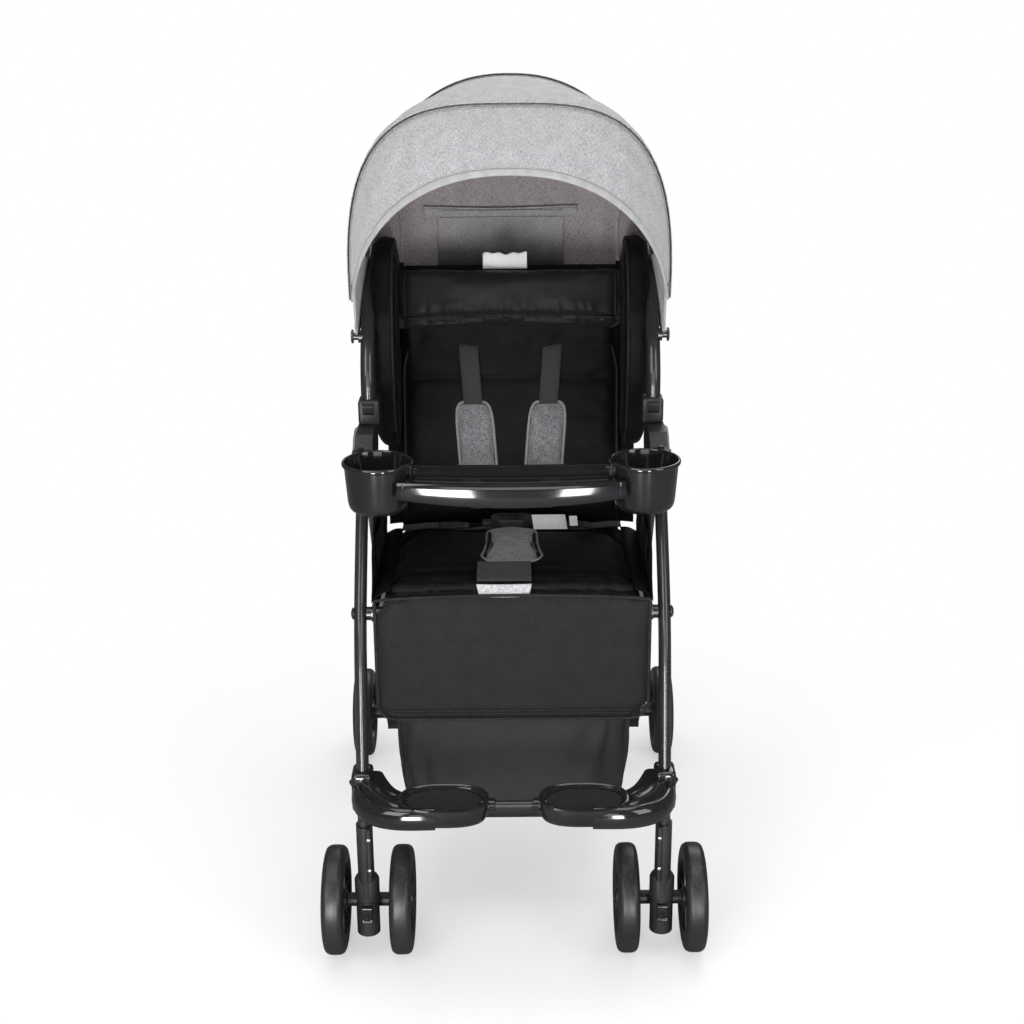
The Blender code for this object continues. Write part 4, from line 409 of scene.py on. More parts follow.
def spun(profile, centre, axis=(1, 0, 0), steps=64):
    """A profile of (along, radius) pairs spun about an axis through the centre."""
    axis = Vector(axis).normalized()
    side = axis.orthogonal().normalized()
    mesh = bmesh.new()
    verts = [mesh.verts.new(Vector(centre) + axis * along + side * radius) for along, radius in profile]
    edges = [mesh.edges.new(pair) for pair in zip(verts, verts[1:] + verts[:1])]
    bmesh.ops.spin(
        mesh, geom=verts + edges, cent=centre, axis=axis, angle=2 * math.pi, steps=steps, use_merge=True
    )
    return tidy(mesh, 1e-6)


def cushioned_box(low, high, rounding=0.0, segments=3):
    """A box between two corners, its edges rounded."""
    mesh = bmesh.new()
    bmesh.ops.create_cube(mesh, size=1)
    low, high = Vector(low), Vector(high)
    size = Matrix.Diagonal((*(high - low), 1))
    bmesh.ops.transform(mesh, matrix=Matrix.Translation((low + high) / 2) @ size, verts=mesh.verts)
    if rounding:
        bmesh.ops.bevel(
            mesh, geom=mesh.edges[:], offset=rounding, segments=segments, profile=0.5, affect="EDGES", material=-1
        )
    return mesh


def bar(start, end, radius, sides=24):
    """A round rod between two points."""
    start, end = Vector(start), Vector(end)
    mesh = bmesh.new()
    bmesh.ops.create_cone(
        mesh, cap_ends=True, segments=sides, radius1=radius, radius2=radius, depth=(end - start).length
    )
    turn = (end - start).to_track_quat("Z", "Y").to_matrix().to_4x4()
    bmesh.ops.transform(mesh, matrix=Matrix.Translation((start + end) / 2) @ turn, verts=mesh.verts)
    return mesh


def curve_mesh(points, radius, sides=16, smooth=True, outline=None, closed=False):
    """A tube, or an outline swept along a curve through the points, as a bmesh."""
    line = bpy.data.curves.new("line", "CURVE")
    line.dimensions = "3D"
    line.twist_mode = "Z_UP" if outline else "MINIMUM"
    line.use_fill_caps = True
    helper = None
    if outline:
        ring = bpy.data.curves.new("outline", "CURVE")
        ring.dimensions = "2D"
        bent = ring.splines.new("POLY")
        bent.points.add(len(outline) - 1)
        for point, (u, v) in zip(bent.points, outline):
            point.co = (u, v, 0, 1)
        bent.use_cyclic_u = True
        helper = bpy.data.objects.new("outline", ring)
        bpy.context.scene.collection.objects.link(helper)
        line.bevel_mode = "OBJECT"
        line.bevel_object = helper
    else:
        line.bevel_depth = radius
        line.bevel_resolution = max(1, sides // 4 - 1)
    spline = line.splines.new("NURBS" if smooth else "POLY")
    spline.points.add(len(points) - 1)
    for point, place in zip(spline.points, points):
        point.co = (*place, 1)
    spline.use_cyclic_u = closed
    if smooth:
        spline.order_u = 3
        spline.use_endpoint_u = True
        spline.resolution_u = 6
    maker = bpy.data.objects.new("line", line)
    bpy.context.scene.collection.objects.link(maker)
    bpy.context.view_layer.update()
    shape = bpy.data.meshes.new_from_object(maker.evaluated_get(bpy.context.evaluated_depsgraph_get()))
    mesh = bmesh.new()
    mesh.from_mesh(shape)
    bpy.data.objects.remove(maker)
    if helper:
        bpy.data.objects.remove(helper)
        bpy.data.curves.remove(ring)
    bpy.data.curves.remove(line)
    bpy.data.meshes.remove(shape)
    return tidy(mesh, 1e-6)


def oval(width, depth, sides=28):
    """A flat oval cross-section."""
    return [
        (width / 2 * math.cos(2 * math.pi * i / sides), depth / 2 * math.sin(2 * math.pi * i / sides))
        for i in range(sides)
    ]


def smooth_line(points, steps=8):
    """A smooth line through every one of the points."""
    points = [Vector(p) for p in points]
    ends = [points[0] * 2 - points[1]] + points + [points[-1] * 2 - points[-2]]
    found = []
    for a, b, c, d in zip(ends, ends[1:], ends[2:], ends[3:]):
        for i in range(steps):
            t = i / steps
            found.append(
                0.5 * (2 * b + (c - a) * t + (2 * a - 5 * b + 4 * c - d) * t * t + (3 * b - a - 3 * c + d) * t**3)
            )
    return found + [points[-1]]


def cloth_grid(columns, rows, place, size):
    """A sheet of cloth: a flat grid of the cut size, whose UV map is in metres, laid to its place by u and v."""
    mesh = bmesh.new()
    bmesh.ops.create_grid(mesh, x_segments=columns, y_segments=rows, size=0.5, calc_uvs=True)
    layer = mesh.loops.layers.uv.verify()
    for face in mesh.faces:
        for loop in face.loops:
            u, v = loop.vert.co.x + 0.5, loop.vert.co.y + 0.5
            loop[layer].uv = (u * size[0], v * size[1])
    for vert in mesh.verts:
        vert.co = place(vert.co.x + 0.5, vert.co.y + 0.5)
    return mesh


def modifier(made, kind, **settings):
    """Adds a modifier with its settings."""
    added = made.modifiers.new(kind.lower(), kind)
    for label, value in settings.items():
        setattr(added, label, value)
    return added


def thick(made, thickness, offset=1.0, inner=0, rim=0):
    """Gives a sheet its thickness, with other finishes on its inner face and its rim if they are given."""
    return modifier(
        made, "SOLIDIFY", thickness=thickness, offset=offset, material_offset=inner, material_offset_rim=rim
    )


def finer(made):
    """One level of subdivision, the same in view and render."""
    return modifier(made, "SUBSURF", levels=1, render_levels=1)


def eased(node, finish, width=0.0008, segments=2, angle=28):
    """A frame node's own shape with its edges eased, which stands for the node."""
    mesh = bmesh.new()
    mesh.from_mesh(frame["nodes"][node].data)
    bmesh.ops.remove_doubles(mesh, verts=mesh.verts, dist=2e-5)
    bmesh.ops.dissolve_limit(mesh, angle_limit=math.radians(2), verts=mesh.verts, edges=mesh.edges)
    made = piece(f"{node}_finished", mesh, finish, frame["nodes"][node]["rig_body"], [node], sharp=None)
    modifier(
        made, "BEVEL", width=width, segments=segments, limit_method="ANGLE", angle_limit=math.radians(angle),
        use_clamp_overlap=True, harden_normals=False
    )
    modifier(made, "WEIGHTED_NORMAL", keep_sharp=False)
    return made


STITCH_GAP = 0.0016


def stitches(name, lines, finish, body, long=0.0032, thick_=0.00045):
    """Rows of short raised stitches along lines of points."""
    mesh = bmesh.new()
    for points in lines:
        points = [Vector(p) for p in points]
        lengths = [(b - a).length for a, b in zip(points, points[1:])]
        total = sum(lengths)
        count = max(1, int(total / (long + STITCH_GAP)))
        for k in range(count):
            ends = []
            for reach in (k * total / count, k * total / count + long):
                i, left = 0, min(reach, total)
                while i < len(lengths) - 1 and left > lengths[i]:
                    left -= lengths[i]
                    i += 1
                ends.append(points[i].lerp(points[i + 1], min(1.0, left / max(lengths[i], 1e-9))))
            if (ends[1] - ends[0]).length < long * 0.4:
                continue
            add_to(mesh, bar(*ends, thick_, 6))
    return piece(name, mesh, finish, body, sharp=None)


# Padded pieces

def settle(made):
    """Keeps what the modifiers have made, and drops the modifiers."""
    bpy.context.view_layer.update()
    shape = bpy.data.meshes.new_from_object(made.evaluated_get(bpy.context.evaluated_depsgraph_get()))
    for coat in list(made.data.materials):
        if coat.name not in shape.materials:
            shape.materials.append(coat)
    made.modifiers.clear()
    made.data = shape


def inflate(made, pressure, cap):
    """Blows a pad's cover up for a moment as cloth. No point moves further than the cap."""
    rest = [v.co.copy() for v in made.data.vertices]
    cloth = modifier(made, "CLOTH")
    cloth.settings.quality = 4
    cloth.settings.mass = 0.25
    cloth.settings.tension_stiffness = 18
    cloth.settings.compression_stiffness = 18
    cloth.settings.bending_stiffness = 0.8
    cloth.settings.use_pressure = True
    cloth.settings.uniform_pressure_force = pressure
    cloth.settings.effector_weights.gravity = 0
    cloth.collision_settings.use_collision = False
    cloth.point_cache.frame_start = 1
    cloth.point_cache.frame_end = 20
    for number in range(1, 21):
        bpy.context.scene.frame_set(number)
    moved = made.evaluated_get(bpy.context.evaluated_depsgraph_get()).data.vertices
    ends = [v.co.copy() for v in moved]
    made.modifiers.clear()
    bpy.context.scene.frame_set(1)
    for vert, start, end in zip(made.data.vertices, rest, ends):
        way = end - start
        if way.length > cap:
            way *= cap / way.length
        vert.co = start + way


def fill_out(made, solid):
    """Stretches a cushion that has shrunk until it is as large as the solid it stands for."""
    for axis in range(3):
        now = [v.co[axis] for v in made.data.vertices]
        meant = [v.co[axis] for v in solid.vertices]
        low, high = min(now), max(now)
        new_low, new_high = min(low, min(meant) + 0.0005), max(high, max(meant) - 0.0005)
        for vert in made.data.vertices:
            vert.co[axis] = new_low + (vert.co[axis] - low) * (new_high - new_low) / (high - low)


def pad(name, node, finish, voxel=0.005, pressure=4.0, cap=0.006, shrink=0.003, base=None, shape=None):
    """A cushion in the place of its frame solid: remeshed, blown up, kept on its base, then sewn and creased."""
    mesh = bmesh.new()
    mesh.from_mesh(frame["nodes"][node].data)
    tidy(mesh, 2e-5)
    if shrink:
        mesh.normal_update()
        moves = [(v, v.normal * min(v.calc_shell_factor(), 1.6) * shrink) for v in mesh.verts]
        for vert, way in moves:
            vert.co -= way
    made = piece(name, mesh, finish, frame["nodes"][node]["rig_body"], [node], sharp=None)
    modifier(made, "REMESH", mode="VOXEL", voxel_size=voxel, use_smooth_shade=True)
    modifier(made, "SMOOTH", factor=0.5, iterations=2)
    settle(made)
    inflate(made, pressure, cap)
    fill_out(made, frame["nodes"][node].data)
    normals = [v.normal.copy() for v in made.data.vertices]
    for vert, normal in zip(made.data.vertices, normals):
        if shape:
            vert.co = shape(vert.co.copy(), normal)
        if base:
            below = (vert.co - base[0]).dot(base[1])
            if below < 0:
                vert.co -= base[1] * below
    made.data.shade_smooth()
    finer(made)
    return made


def crumple(place, scale, depth, stretch=(1, 1, 1), seed=0.0):
    """Soft ridges and hollows, as in cloth that is a little too long for its place."""
    point = Vector((place.x * stretch[0], place.y * stretch[1], place.z * stretch[2])) * scale
    point += Vector((seed, seed * 0.7, -seed))
    first = noise.noise(point)
    return depth * (1 - 2 * abs(first)) * 0.6 + depth * 0.4 * noise.noise(point * 2.3)


# Floor, light and camera

def stage():
    """A pale floor that is white to the camera, but darker in gloss, and a white world."""
    floor = bmesh.new()
    bmesh.ops.create_grid(floor, x_segments=2, y_segments=2, size=6)
    bmesh.ops.transform(floor, matrix=Matrix.Translation((0, 2, 0)), verts=floor.verts)
    data = bpy.data.meshes.new("studio_floor")
    floor.to_mesh(data)
    floor.free()
    made = bpy.data.objects.new("studio_floor", data)
    bpy.context.scene.collection.objects.link(made)
    finish, w, shader = new_finish("pale_floor")
    where = w.add("ShaderNodeTexCoord").outputs["Object"]
    cloud = use(w, GRAIN, Vector=where, Fineness=40.0)["Cloud"]
    pale = w.mix(cloud, (0.88, 0.88, 0.88, 1), (0.92, 0.92, 0.92, 1))
    shader.inputs["Roughness"].default_value = 0.7
    away = w.add("ShaderNodeVectorMath", {"operation": "LENGTH"}, Vector=where).outputs["Value"]
    path = w.add("ShaderNodeLightPath").outputs
    share = w.sum("MULTIPLY", w.span(away, 0.40, 1.00, 0.45, 1.0), path["Is Camera Ray"])
    w.feed(shader, "Base Color", w.mix(path["Is Glossy Ray"], pale, (0.16, 0.16, 0.17, 1)))
    white = w.add("ShaderNodeEmission", Color=(1, 1, 1, 1), Strength=1.0)
    blended = w.add("ShaderNodeMixShader", **{"#0": share, "#1": shader.outputs[0], "#2": white.outputs[0]})
    finish.node_tree.links.new(blended.outputs[0], finish.node_tree.nodes["Material Output"].inputs[0])
    data.materials.append(finish)

    world = bpy.data.worlds.new("studio")
    bpy.context.scene.world = world
    world.use_nodes = True
    w = Wiring(world.node_tree)
    ground = world.node_tree.nodes["Background"]
    path = w.add("ShaderNodeLightPath").outputs
    bright = w.sum("MAXIMUM", path["Is Camera Ray"], path["Is Transmission Ray"])
    ground.inputs["Color"].default_value = (1, 1, 1, 1)
    w.feed(ground, "Strength", w.blend(bright, w.blend(path["Is Glossy Ray"], 0.55, 0.10), 1.0))


def softbox(name, place, aim, size, power):
    """A rectangular lamp that looks at a place."""
    lamp = bpy.data.lights.new(name, "AREA")
    lamp.shape = "RECTANGLE"
    lamp.size, lamp.size_y = size
    lamp.energy = power
    made = bpy.data.objects.new(name, lamp)
    bpy.context.scene.collection.objects.link(made)
    made.location = place
    made.rotation_euler = (Vector(aim) - Vector(place)).to_track_quat("-Z", "Y").to_euler()


CAMERA_PLACE = at(0, -1.81, 1.248)
LOOK_DOWN, ROLL = math.radians(19.5), math.radians(-0.45)


def camera():
    """The photograph's view, as fitted to its wheels, legs and handle."""
    lens = bpy.data.cameras.new("camera")
    lens.sensor_width = 36
    lens.lens = 56.25
    lens.shift_x = 0.0004
    lens.clip_end = 50
    made = bpy.data.objects.new("camera", lens)
    bpy.context.scene.collection.objects.link(made)
    made.location = CAMERA_PLACE
    aim = Matrix.Rotation(math.radians(90) - LOOK_DOWN, 4, "X") @ Matrix.Rotation(ROLL, 4, "Z")
    made.rotation_euler = aim.to_euler()
    bpy.context.scene.camera = made


stage()
softbox("front_left", (-1.6, -2.4, 2.2), (0, 0, 0.55), (1.4, 1.8), 30)
softbox("front_low", (0, -3.2, 1.35), (0, 0, 0.8), (1.6, 1.0), 10)
softbox("strip_left", (-0.42, -1.75, 0.30), (-0.05, -0.23, 0.62), (0.34, 0.62), 15.0)
softbox("strip_right", (0.42, -1.75, 0.30), (0.05, -0.23, 0.62), (0.20, 0.62), 8.0)
softbox("front_right", (1.9, -2.0, 1.6), (0, 0, 0.5), (1.0, 1.8), 19)
softbox("overhead", (0, -0.2, 3.0), (0, 0, 0.5), (2.2, 2.2), 30)
softbox("behind", (0.6, 2.4, 2.2), (0, 0, 0.6), (2.0, 1.4), 22)
camera()
bpy.context.scene.view_settings.view_transform = "Standard"


# Hood

HOOD_AXIS = at(0, 0.250, 0.765)
HOOD_HALF_WIDTH, HOOD_RADIUS = 0.2130, 0.335
HOOD_LAYER, CLOTH = 0.0044, 0.0015
REAR_BOW, MIDDLE_BOW, FRONT_BOW, RIM = (math.radians(a) for a in (-38, -10, 21, 43))
FIRST_TURN, VISOR_TURN = math.radians(9.4), math.radians(14.5)


def arch(turn, angle, inset):
    """A point of the hood: an arch at a lean about the hood's axis, round behind and squarer in front."""
    across, up = math.cos(turn), max(math.sin(turn), 0.0)
    share = min(1.0, max(0.0, (angle - MIDDLE_BOW) / (FRONT_BOW - MIDDLE_BOW)))
    brim = min(1.2, max(0.0, (angle - FRONT_BOW) / (RIM - FRONT_BOW)))
    roundness = 2.3 + 1.0 * share * share * (3 - 2 * share) - 1.1 * brim
    reach = (abs(across) ** roundness + up ** roundness) ** (-1 / roundness)
    radius = (HOOD_RADIUS - inset) * up * reach
    x = (HOOD_HALF_WIDTH - inset) * across * reach
    return HOOD_AXIS + Vector((x, -radius * math.sin(angle), radius * math.cos(angle)))


def arch_turn(u, first=FIRST_TURN):
    """Turns from left to right, between the arch's two ends."""
    return first + (math.pi - 2 * first) * u


def hood_cloth(name, node, start, end, layer, body, sag, seed, first=FIRST_TURN, front_body=None):
    """Cloth stretched between two bows: it dips between them and puckers beside its seams. It rides on its body only
    when no front body is given; otherwise it is settled where it lies and rides on no body.
    """

    def place(u, v):
        turn, angle = arch_turn(u, first), start + (end - start) * v
        spread = math.sin(math.pi * v)
        high = math.sin(turn)
        dip = sag * spread * (0.35 + 0.65 * high)
        spot = arch(turn, angle, layer * HOOD_LAYER)
        pucker = crumple(spot, 21, 0.0022, (1, 1, 0.6), seed) * spread
        gather = 0.0010 * math.sin(turn * 95 + 3 * noise.noise(spot * 9)) * (1 - spread) ** 3 * spread ** 0.3
        return arch(turn, angle, layer * HOOD_LAYER + max(0.0, dip + pucker + gather))

    size = (0.95, (end - start) * HOOD_RADIUS)
    mesh = cloth_grid(160, 24, place, size)
    made = piece(name, mesh, MELANGE_HOOD, None if front_body else body, [node], None, [LINING])
    thick(made, CLOTH, -1 if mesh_faces_out(made) else 1, inner=1, rim=0)
    finer(made)
    if front_body:
        settle(made)
        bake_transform(made)


def mesh_faces_out(made):
    """Whether the sheet's faces point away from the hood's axis."""
    face = made.data.polygons[len(made.data.polygons) // 2]
    return face.normal.dot(face.center - HOOD_AXIS) > 0


def bow_sleeve(name, node, angle, layer, body):
    """The lining's tunnel round a bow."""
    inset = layer * HOOD_LAYER + CLOTH + 0.0004
    rows = []
    turns = [arch_turn(i / 80) for i in range(81)]
    mesh = bmesh.new()
    for turn in turns:
        middle, deep = inset + 0.0017, 0.0021
        half = 0.0095 / HOOD_RADIUS
        ring = []
        for k in range(12):
            t = 2 * math.pi * k / 12
            ring.append(mesh.verts.new(arch(turn, angle + half * math.cos(t), middle + deep * math.sin(t))))
        rows.append(ring)
    for first, second in zip(rows, rows[1:]):
        for k in range(12):
            mesh.faces.new((first[k], first[(k + 1) % 12], second[(k + 1) % 12], second[k]))
    for ring in (rows[0], rows[-1]):
        mesh.faces.new(ring)
    tidy(mesh, 1e-6)
    layer_uv = mesh.loops.layers.uv.verify()
    for face in mesh.faces:
        for loop in face.loops:
            loop[layer_uv].uv = (loop.vert.co.x, loop.vert.co.z)
    wire = curve_mesh(seam_line(angle, inset + 0.0017), 0.0012, 10, smooth=False)
    piece(f"{node}_wire", wire, BLACK_PAINT, body, [node], sharp=None)
    return piece(name, mesh, LINING, body, sharp=None)


def seam_line(angle, inset, first=FIRST_TURN):
    """A line from end to end of the hood at one lean."""
    return [arch(arch_turn(i / 120, first), angle, inset) for i in range(121)]


def piping(name, points, radius, finish, body):
    """A cord sewn into a seam."""
    return piece(name, curve_mesh(points, radius, 10, smooth=False), finish, body, sharp=None)


PIPING = cloth_finish("dark_piping", (0.030, 0.030, 0.032), (0.012, 0.012, 0.013), 1400.0, rough=0.8)
SEAM_PIPING = cloth_finish("grey_piping", (0.40, 0.40, 0.41), (0.20, 0.20, 0.21), 1400.0, rough=0.8)
hood_cloth("hood_roof_cloth", "hood_roof", REAR_BOW, MIDDLE_BOW, 0, "frame", 0.007, 1.0,
           front_body="hood_middle")
hood_cloth("hood_middle_cloth", "hood_middle_panel", MIDDLE_BOW, FRONT_BOW, 1, "hood_middle", 0.006, 4.0,
           front_body="hood_front")
hood_cloth("hood_visor_cloth", "hood_visor", FRONT_BOW, RIM, 2, "hood_front", 0.0015, 9.0, VISOR_TURN)
for label, angle, level, body in (
    ("rear", REAR_BOW, 0, "frame"), ("middle", MIDDLE_BOW, 1, "hood_middle"), ("front", FRONT_BOW, 2, "hood_front")
):
    bow_sleeve(f"hood_{label}_sleeve", f"hood_{label}_bow", angle, level, body)
    piping(f"hood_{label}_piping", seam_line(angle, level * HOOD_LAYER - 0.0002), 0.0011, SEAM_PIPING, body)
    rows = [seam_line(angle + away, level * HOOD_LAYER - 0.0001) for away in (-0.016, 0.016)]
    stitches(f"hood_{label}_stitches", rows, GREY_THREAD, body, thick_=0.0004)


def visor_binding():
    """The pale tape folded over the visor's rim, with its stitching."""

    def ring(turn):
        return [
            arch(turn, RIM + a, 2 * HOOD_LAYER + b)
            for a, b in ((-0.026, -0.0007), (0.000, -0.0009), (0.0055, 0.0007), (0.000, 0.0024), (-0.026, 0.0021))
        ]

    mesh = bmesh.new()
    uv = mesh.loops.layers.uv.verify()
    rows = [[mesh.verts.new(p) for p in ring(arch_turn(i / 140, VISOR_TURN))] for i in range(141)]
    for i, (first, second) in enumerate(zip(rows, rows[1:])):
        for k in range(4):
            face = mesh.faces.new((first[k], first[k + 1], second[k + 1], second[k]))
            for loop, (a, b) in zip(face.loops, ((k, i), (k + 1, i), (k + 1, i + 1), (k, i + 1))):
                loop[uv].uv = (a * 0.004, b * 0.0068)
    bmesh.ops.recalc_face_normals(mesh, faces=mesh.faces)
    made = piece("visor_binding", mesh, BINDING, "hood_front", sharp=None)
    thick(made, 0.0005, 0)
    finer(made)
    row = seam_line(RIM - 0.021, 2 * HOOD_LAYER - 0.0010, VISOR_TURN)
    stitches("visor_stitches", [row], GREY_THREAD, "hood_front")


visor_binding()


# Rear flap of the hood

FLAP_SHARE, FLAP_FOOT, FLAP_FOOT_HALF = 0.72, at(0, 0.420, 0.800), 0.150
BEHIND_BOW = REAR_BOW - (0.007 + 0.0006) / (HOOD_RADIUS - HOOD_LAYER)
FLAP_WIDEST = arch(math.acos(FLAP_SHARE), BEHIND_BOW, CLOTH).x


def turn_at(x):
    """The turn at which the rear arch has this x."""
    low, high = 0.0, math.pi
    for _ in range(24):
        turn = (low + high) / 2
        if arch(turn, BEHIND_BOW, CLOTH).x > x:
            low = turn
        else:
            high = turn
    return turn


def flap_line(upper, t):
    """A place on the flap, from its upper edge at 0 to its foot at 1."""
    foot = Vector((upper.x / FLAP_WIDEST * FLAP_FOOT_HALF, FLAP_FOOT.y, FLAP_FOOT.z))
    place = upper.lerp(foot, t)
    fold = 0.0025 * math.sin(upper.x * 46 + 2 * noise.noise(place * 7)) * t * (1.2 - t)
    return place + Vector((0, 0.010 * math.sin(math.pi * t) + fold, 0))


def flap_at(x, z, lift=0.0):
    """The place on the flap with this x and z, lifted towards the child."""
    low, high = 0.0, 1.0
    for _ in range(24):
        t = (low + high) / 2
        edge_x = x / (1 - t + t * FLAP_FOOT_HALF / FLAP_WIDEST)
        upper = arch(turn_at(edge_x), BEHIND_BOW, CLOTH)
        if flap_line(upper, t).z > z:
            low = t
        else:
            high = t
    return flap_line(upper, t) + Vector((0, -lift, 0))


def hang_between(made):
    """Bakes the piece's place into its mesh; the piece rides on no body."""
    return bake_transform(made)


PATCH_SIZE = (0.210, 0.100)


def rear_flap():
    """The flap between the rear bow and the backrest, with its patch (painted darker towards its foot, as painted
    shade), hem and stitching.
    """

    def place(u, v):
        turn = math.acos(FLAP_SHARE * (1 - 2 * u))
        return flap_line(arch(turn, BEHIND_BOW, CLOTH), v)

    size = (0.36, 0.235)
    mesh = cloth_grid(60, 30, place, size)
    made = piece("rear_flap_cloth", mesh, LINING, None, ["hood_rear_flap"], sharp=None)
    thick(made, 0.0012, 0.0)
    settle(made)
    hang_between(made)

    def window(u, v):
        z = 0.904 - 0.100 * v
        half = 0.088 if z < 0.893 else 0.107
        return flap_at(-0.012 + half * (2 * u - 1), z - 0.004 * math.sin(math.pi * u), 0.0032)

    patch = piece("rear_flap_patch", cloth_grid(56, 30, window, PATCH_SIZE), PATCH, None, sharp=None)
    thick(patch, 0.0012, 0.0)
    settle(patch)
    hang_between(patch)
    hem = [flap_at(-0.012 + 0.107 * (i / 20 - 1), 0.905 - 0.004 * math.sin(math.pi * i / 40), 0.004) for i in range(41)]
    rim = piping("rear_flap_hem", hem, 0.0013, SEAM_PIPING, None)
    hang_between(rim)
    for row, z in enumerate((0.899, 0.890)):
        line = [flap_at(-0.012 + 0.086 * (i / 20 - 1), z, 0.0042) for i in range(41)]
        thread = bmesh.new()
        for first, last in zip(line[::1], line[1::1]):
            add_to(thread, bar(first.lerp(last, 0.1), first.lerp(last, 0.8), 0.0004, 6))
        hang_between(piece(f"rear_flap_stitches_{row}", thread, THREAD, None, sharp=None))


def flap_side(side, sign):
    """Closes the hood between its rear bow and the wing's upper edge."""

    def place(u, v):
        upper = arch(math.acos(sign * (0.70 + 0.24 * u)), BEHIND_BOW, CLOTH)
        lower = at(sign * (0.151 + 0.017 * u), 0.420 - 0.058 * u, 0.800 + 0.084 * u)
        fold = 0.0015 * math.sin(v * 9 + u * 12) * math.sin(math.pi * v)
        return upper.lerp(lower, v) + Vector((sign * fold, 0.004 * math.sin(math.pi * v), 0))

    size = (0.085, 0.105)
    made = piece(f"rear_flap_side_{side}", cloth_grid(24, 24, place, size), LINING, None, sharp=None)
    thick(made, 0.0012, 0.0)
    settle(made)
    hang_between(made)


UNDER_BOWS = 0.0135  # from the hood's outer face to clear of its deepest layer


def inside_hood(spot, inset):
    """How far out the hood's side stands at this place."""
    away = spot - HOOD_AXIS
    lean, radius = math.atan2(-away.y, away.z), math.hypot(away.y, away.z)
    low, high = 0.0, math.pi / 2
    for _ in range(24):
        turn = (low + high) / 2
        across = arch(turn, lean, inset) - HOOD_AXIS
        if math.hypot(across.y, across.z) < radius:
            low = turn
        else:
            high = turn
    return arch(low, lean, inset).x


def hood_drape(side, sign):
    """The gathered cloth inside the hood's side, from the visor back to the handle tube and down to the stub."""

    def place(u, v):
        front = at(0.2022, 0.150, 0.890).lerp(at(0.2034, 0.226, 0.776), v)
        rear = at(0.1972, 0.360, 0.850).lerp(at(0.1974, 0.276, 0.772), v)
        spot = front.lerp(rear, u)
        folds = 0.0012 * math.sin(u * 42 + 2 * noise.noise(Vector((u * 4, v * 2, sign)))) * (0.4 + 0.6 * v)
        spot.z -= 0.006 * math.sin(math.pi * u) * v
        out = min(spot.x, inside_hood(Vector((0, spot.y, spot.z)), UNDER_BOWS))
        return Vector((sign * (out + (folds + 0.001) * (1 - u)), spot.y, spot.z))

    for label, first, bodies, ends in (
        ("front", 0.0, ("hood_front", "hood_middle"), (0.165, 0.250)),
        ("rear", 0.5, ("hood_middle", "frame"), (0.257, 0.345)),
    ):
        size = (0.105, 0.118)
        mesh = cloth_grid(55, 40, lambda u, v, first=first: place(first + u / 2, v), size)
        made = piece(f"hood_drape_{label}_{side}", mesh, MELANGE_HOOD, None, sharp=None, extra=[LINING])
        thick(made, 0.0010, -1 if sign > 0 else 1, inner=0)
        settle(made)
        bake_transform(made)


# The patch's grey is painted down to near black towards its foot: painted shade behind the pillow's top.
PATCH = cloth_finish(
    "grey_patch_painted_shade", (0.42, 0.41, 0.42), (0.15, 0.145, 0.15), 900.0, rough=0.8, on_uv=True, streaks=0.7,
    painted_shade_span=(0.035, 0.085)
)
rear_flap()
for side, sign in SIDES:
    flap_side(side, sign)
    hood_drape(side, sign)


# Seat, calf panel and backrest

LEAN = math.radians(8.9)
LEAN_UP = Vector((0, math.sin(LEAN), math.cos(LEAN)))
LEAN_FRONT = Vector((0, -math.cos(LEAN), math.sin(LEAN)))
HINGE_LINE = at(0, 0.325, 0.445)
PAD_FRONT = 0.0243
SEAT_FRONT = at(0, 0.034, 0.462)
SLOPE = math.atan2(0.445 - 0.462, 0.325 - 0.034) - math.asin(0.001 / 0.2915)
ALONG = Vector((0, math.cos(SLOPE), math.sin(SLOPE)))
ABOVE = Vector((0, -ALONG.z, ALONG.y))
SEAT_TOP = 0.0083 + 0.006 + 0.0006 + 0.030
PIPE_RADIUS = 0.0021


def on_back(x, height, forward):
    """A place on the backrest: across, up its lean from the hinge line, and out towards the child."""
    return Vector((x, 0, 0)) + HINGE_LINE + LEAN_UP * height + LEAN_FRONT * forward


def back_height(co):
    """How far up the backrest's lean a place lies, from the hinge line."""
    return (co - HINGE_LINE).dot(LEAN_UP)


def on_seat(x, along, above):
    """A place on the seat: across, back from its front edge, and above its top."""
    return Vector((x, 0, 0)) + SEAT_FRONT + ABOVE * (SEAT_TOP + above) + ALONG * along


def ridge(value, middle, width):
    """1 at the middle and 0 a width away from it."""
    return math.exp(-((value - middle) / width) ** 2)


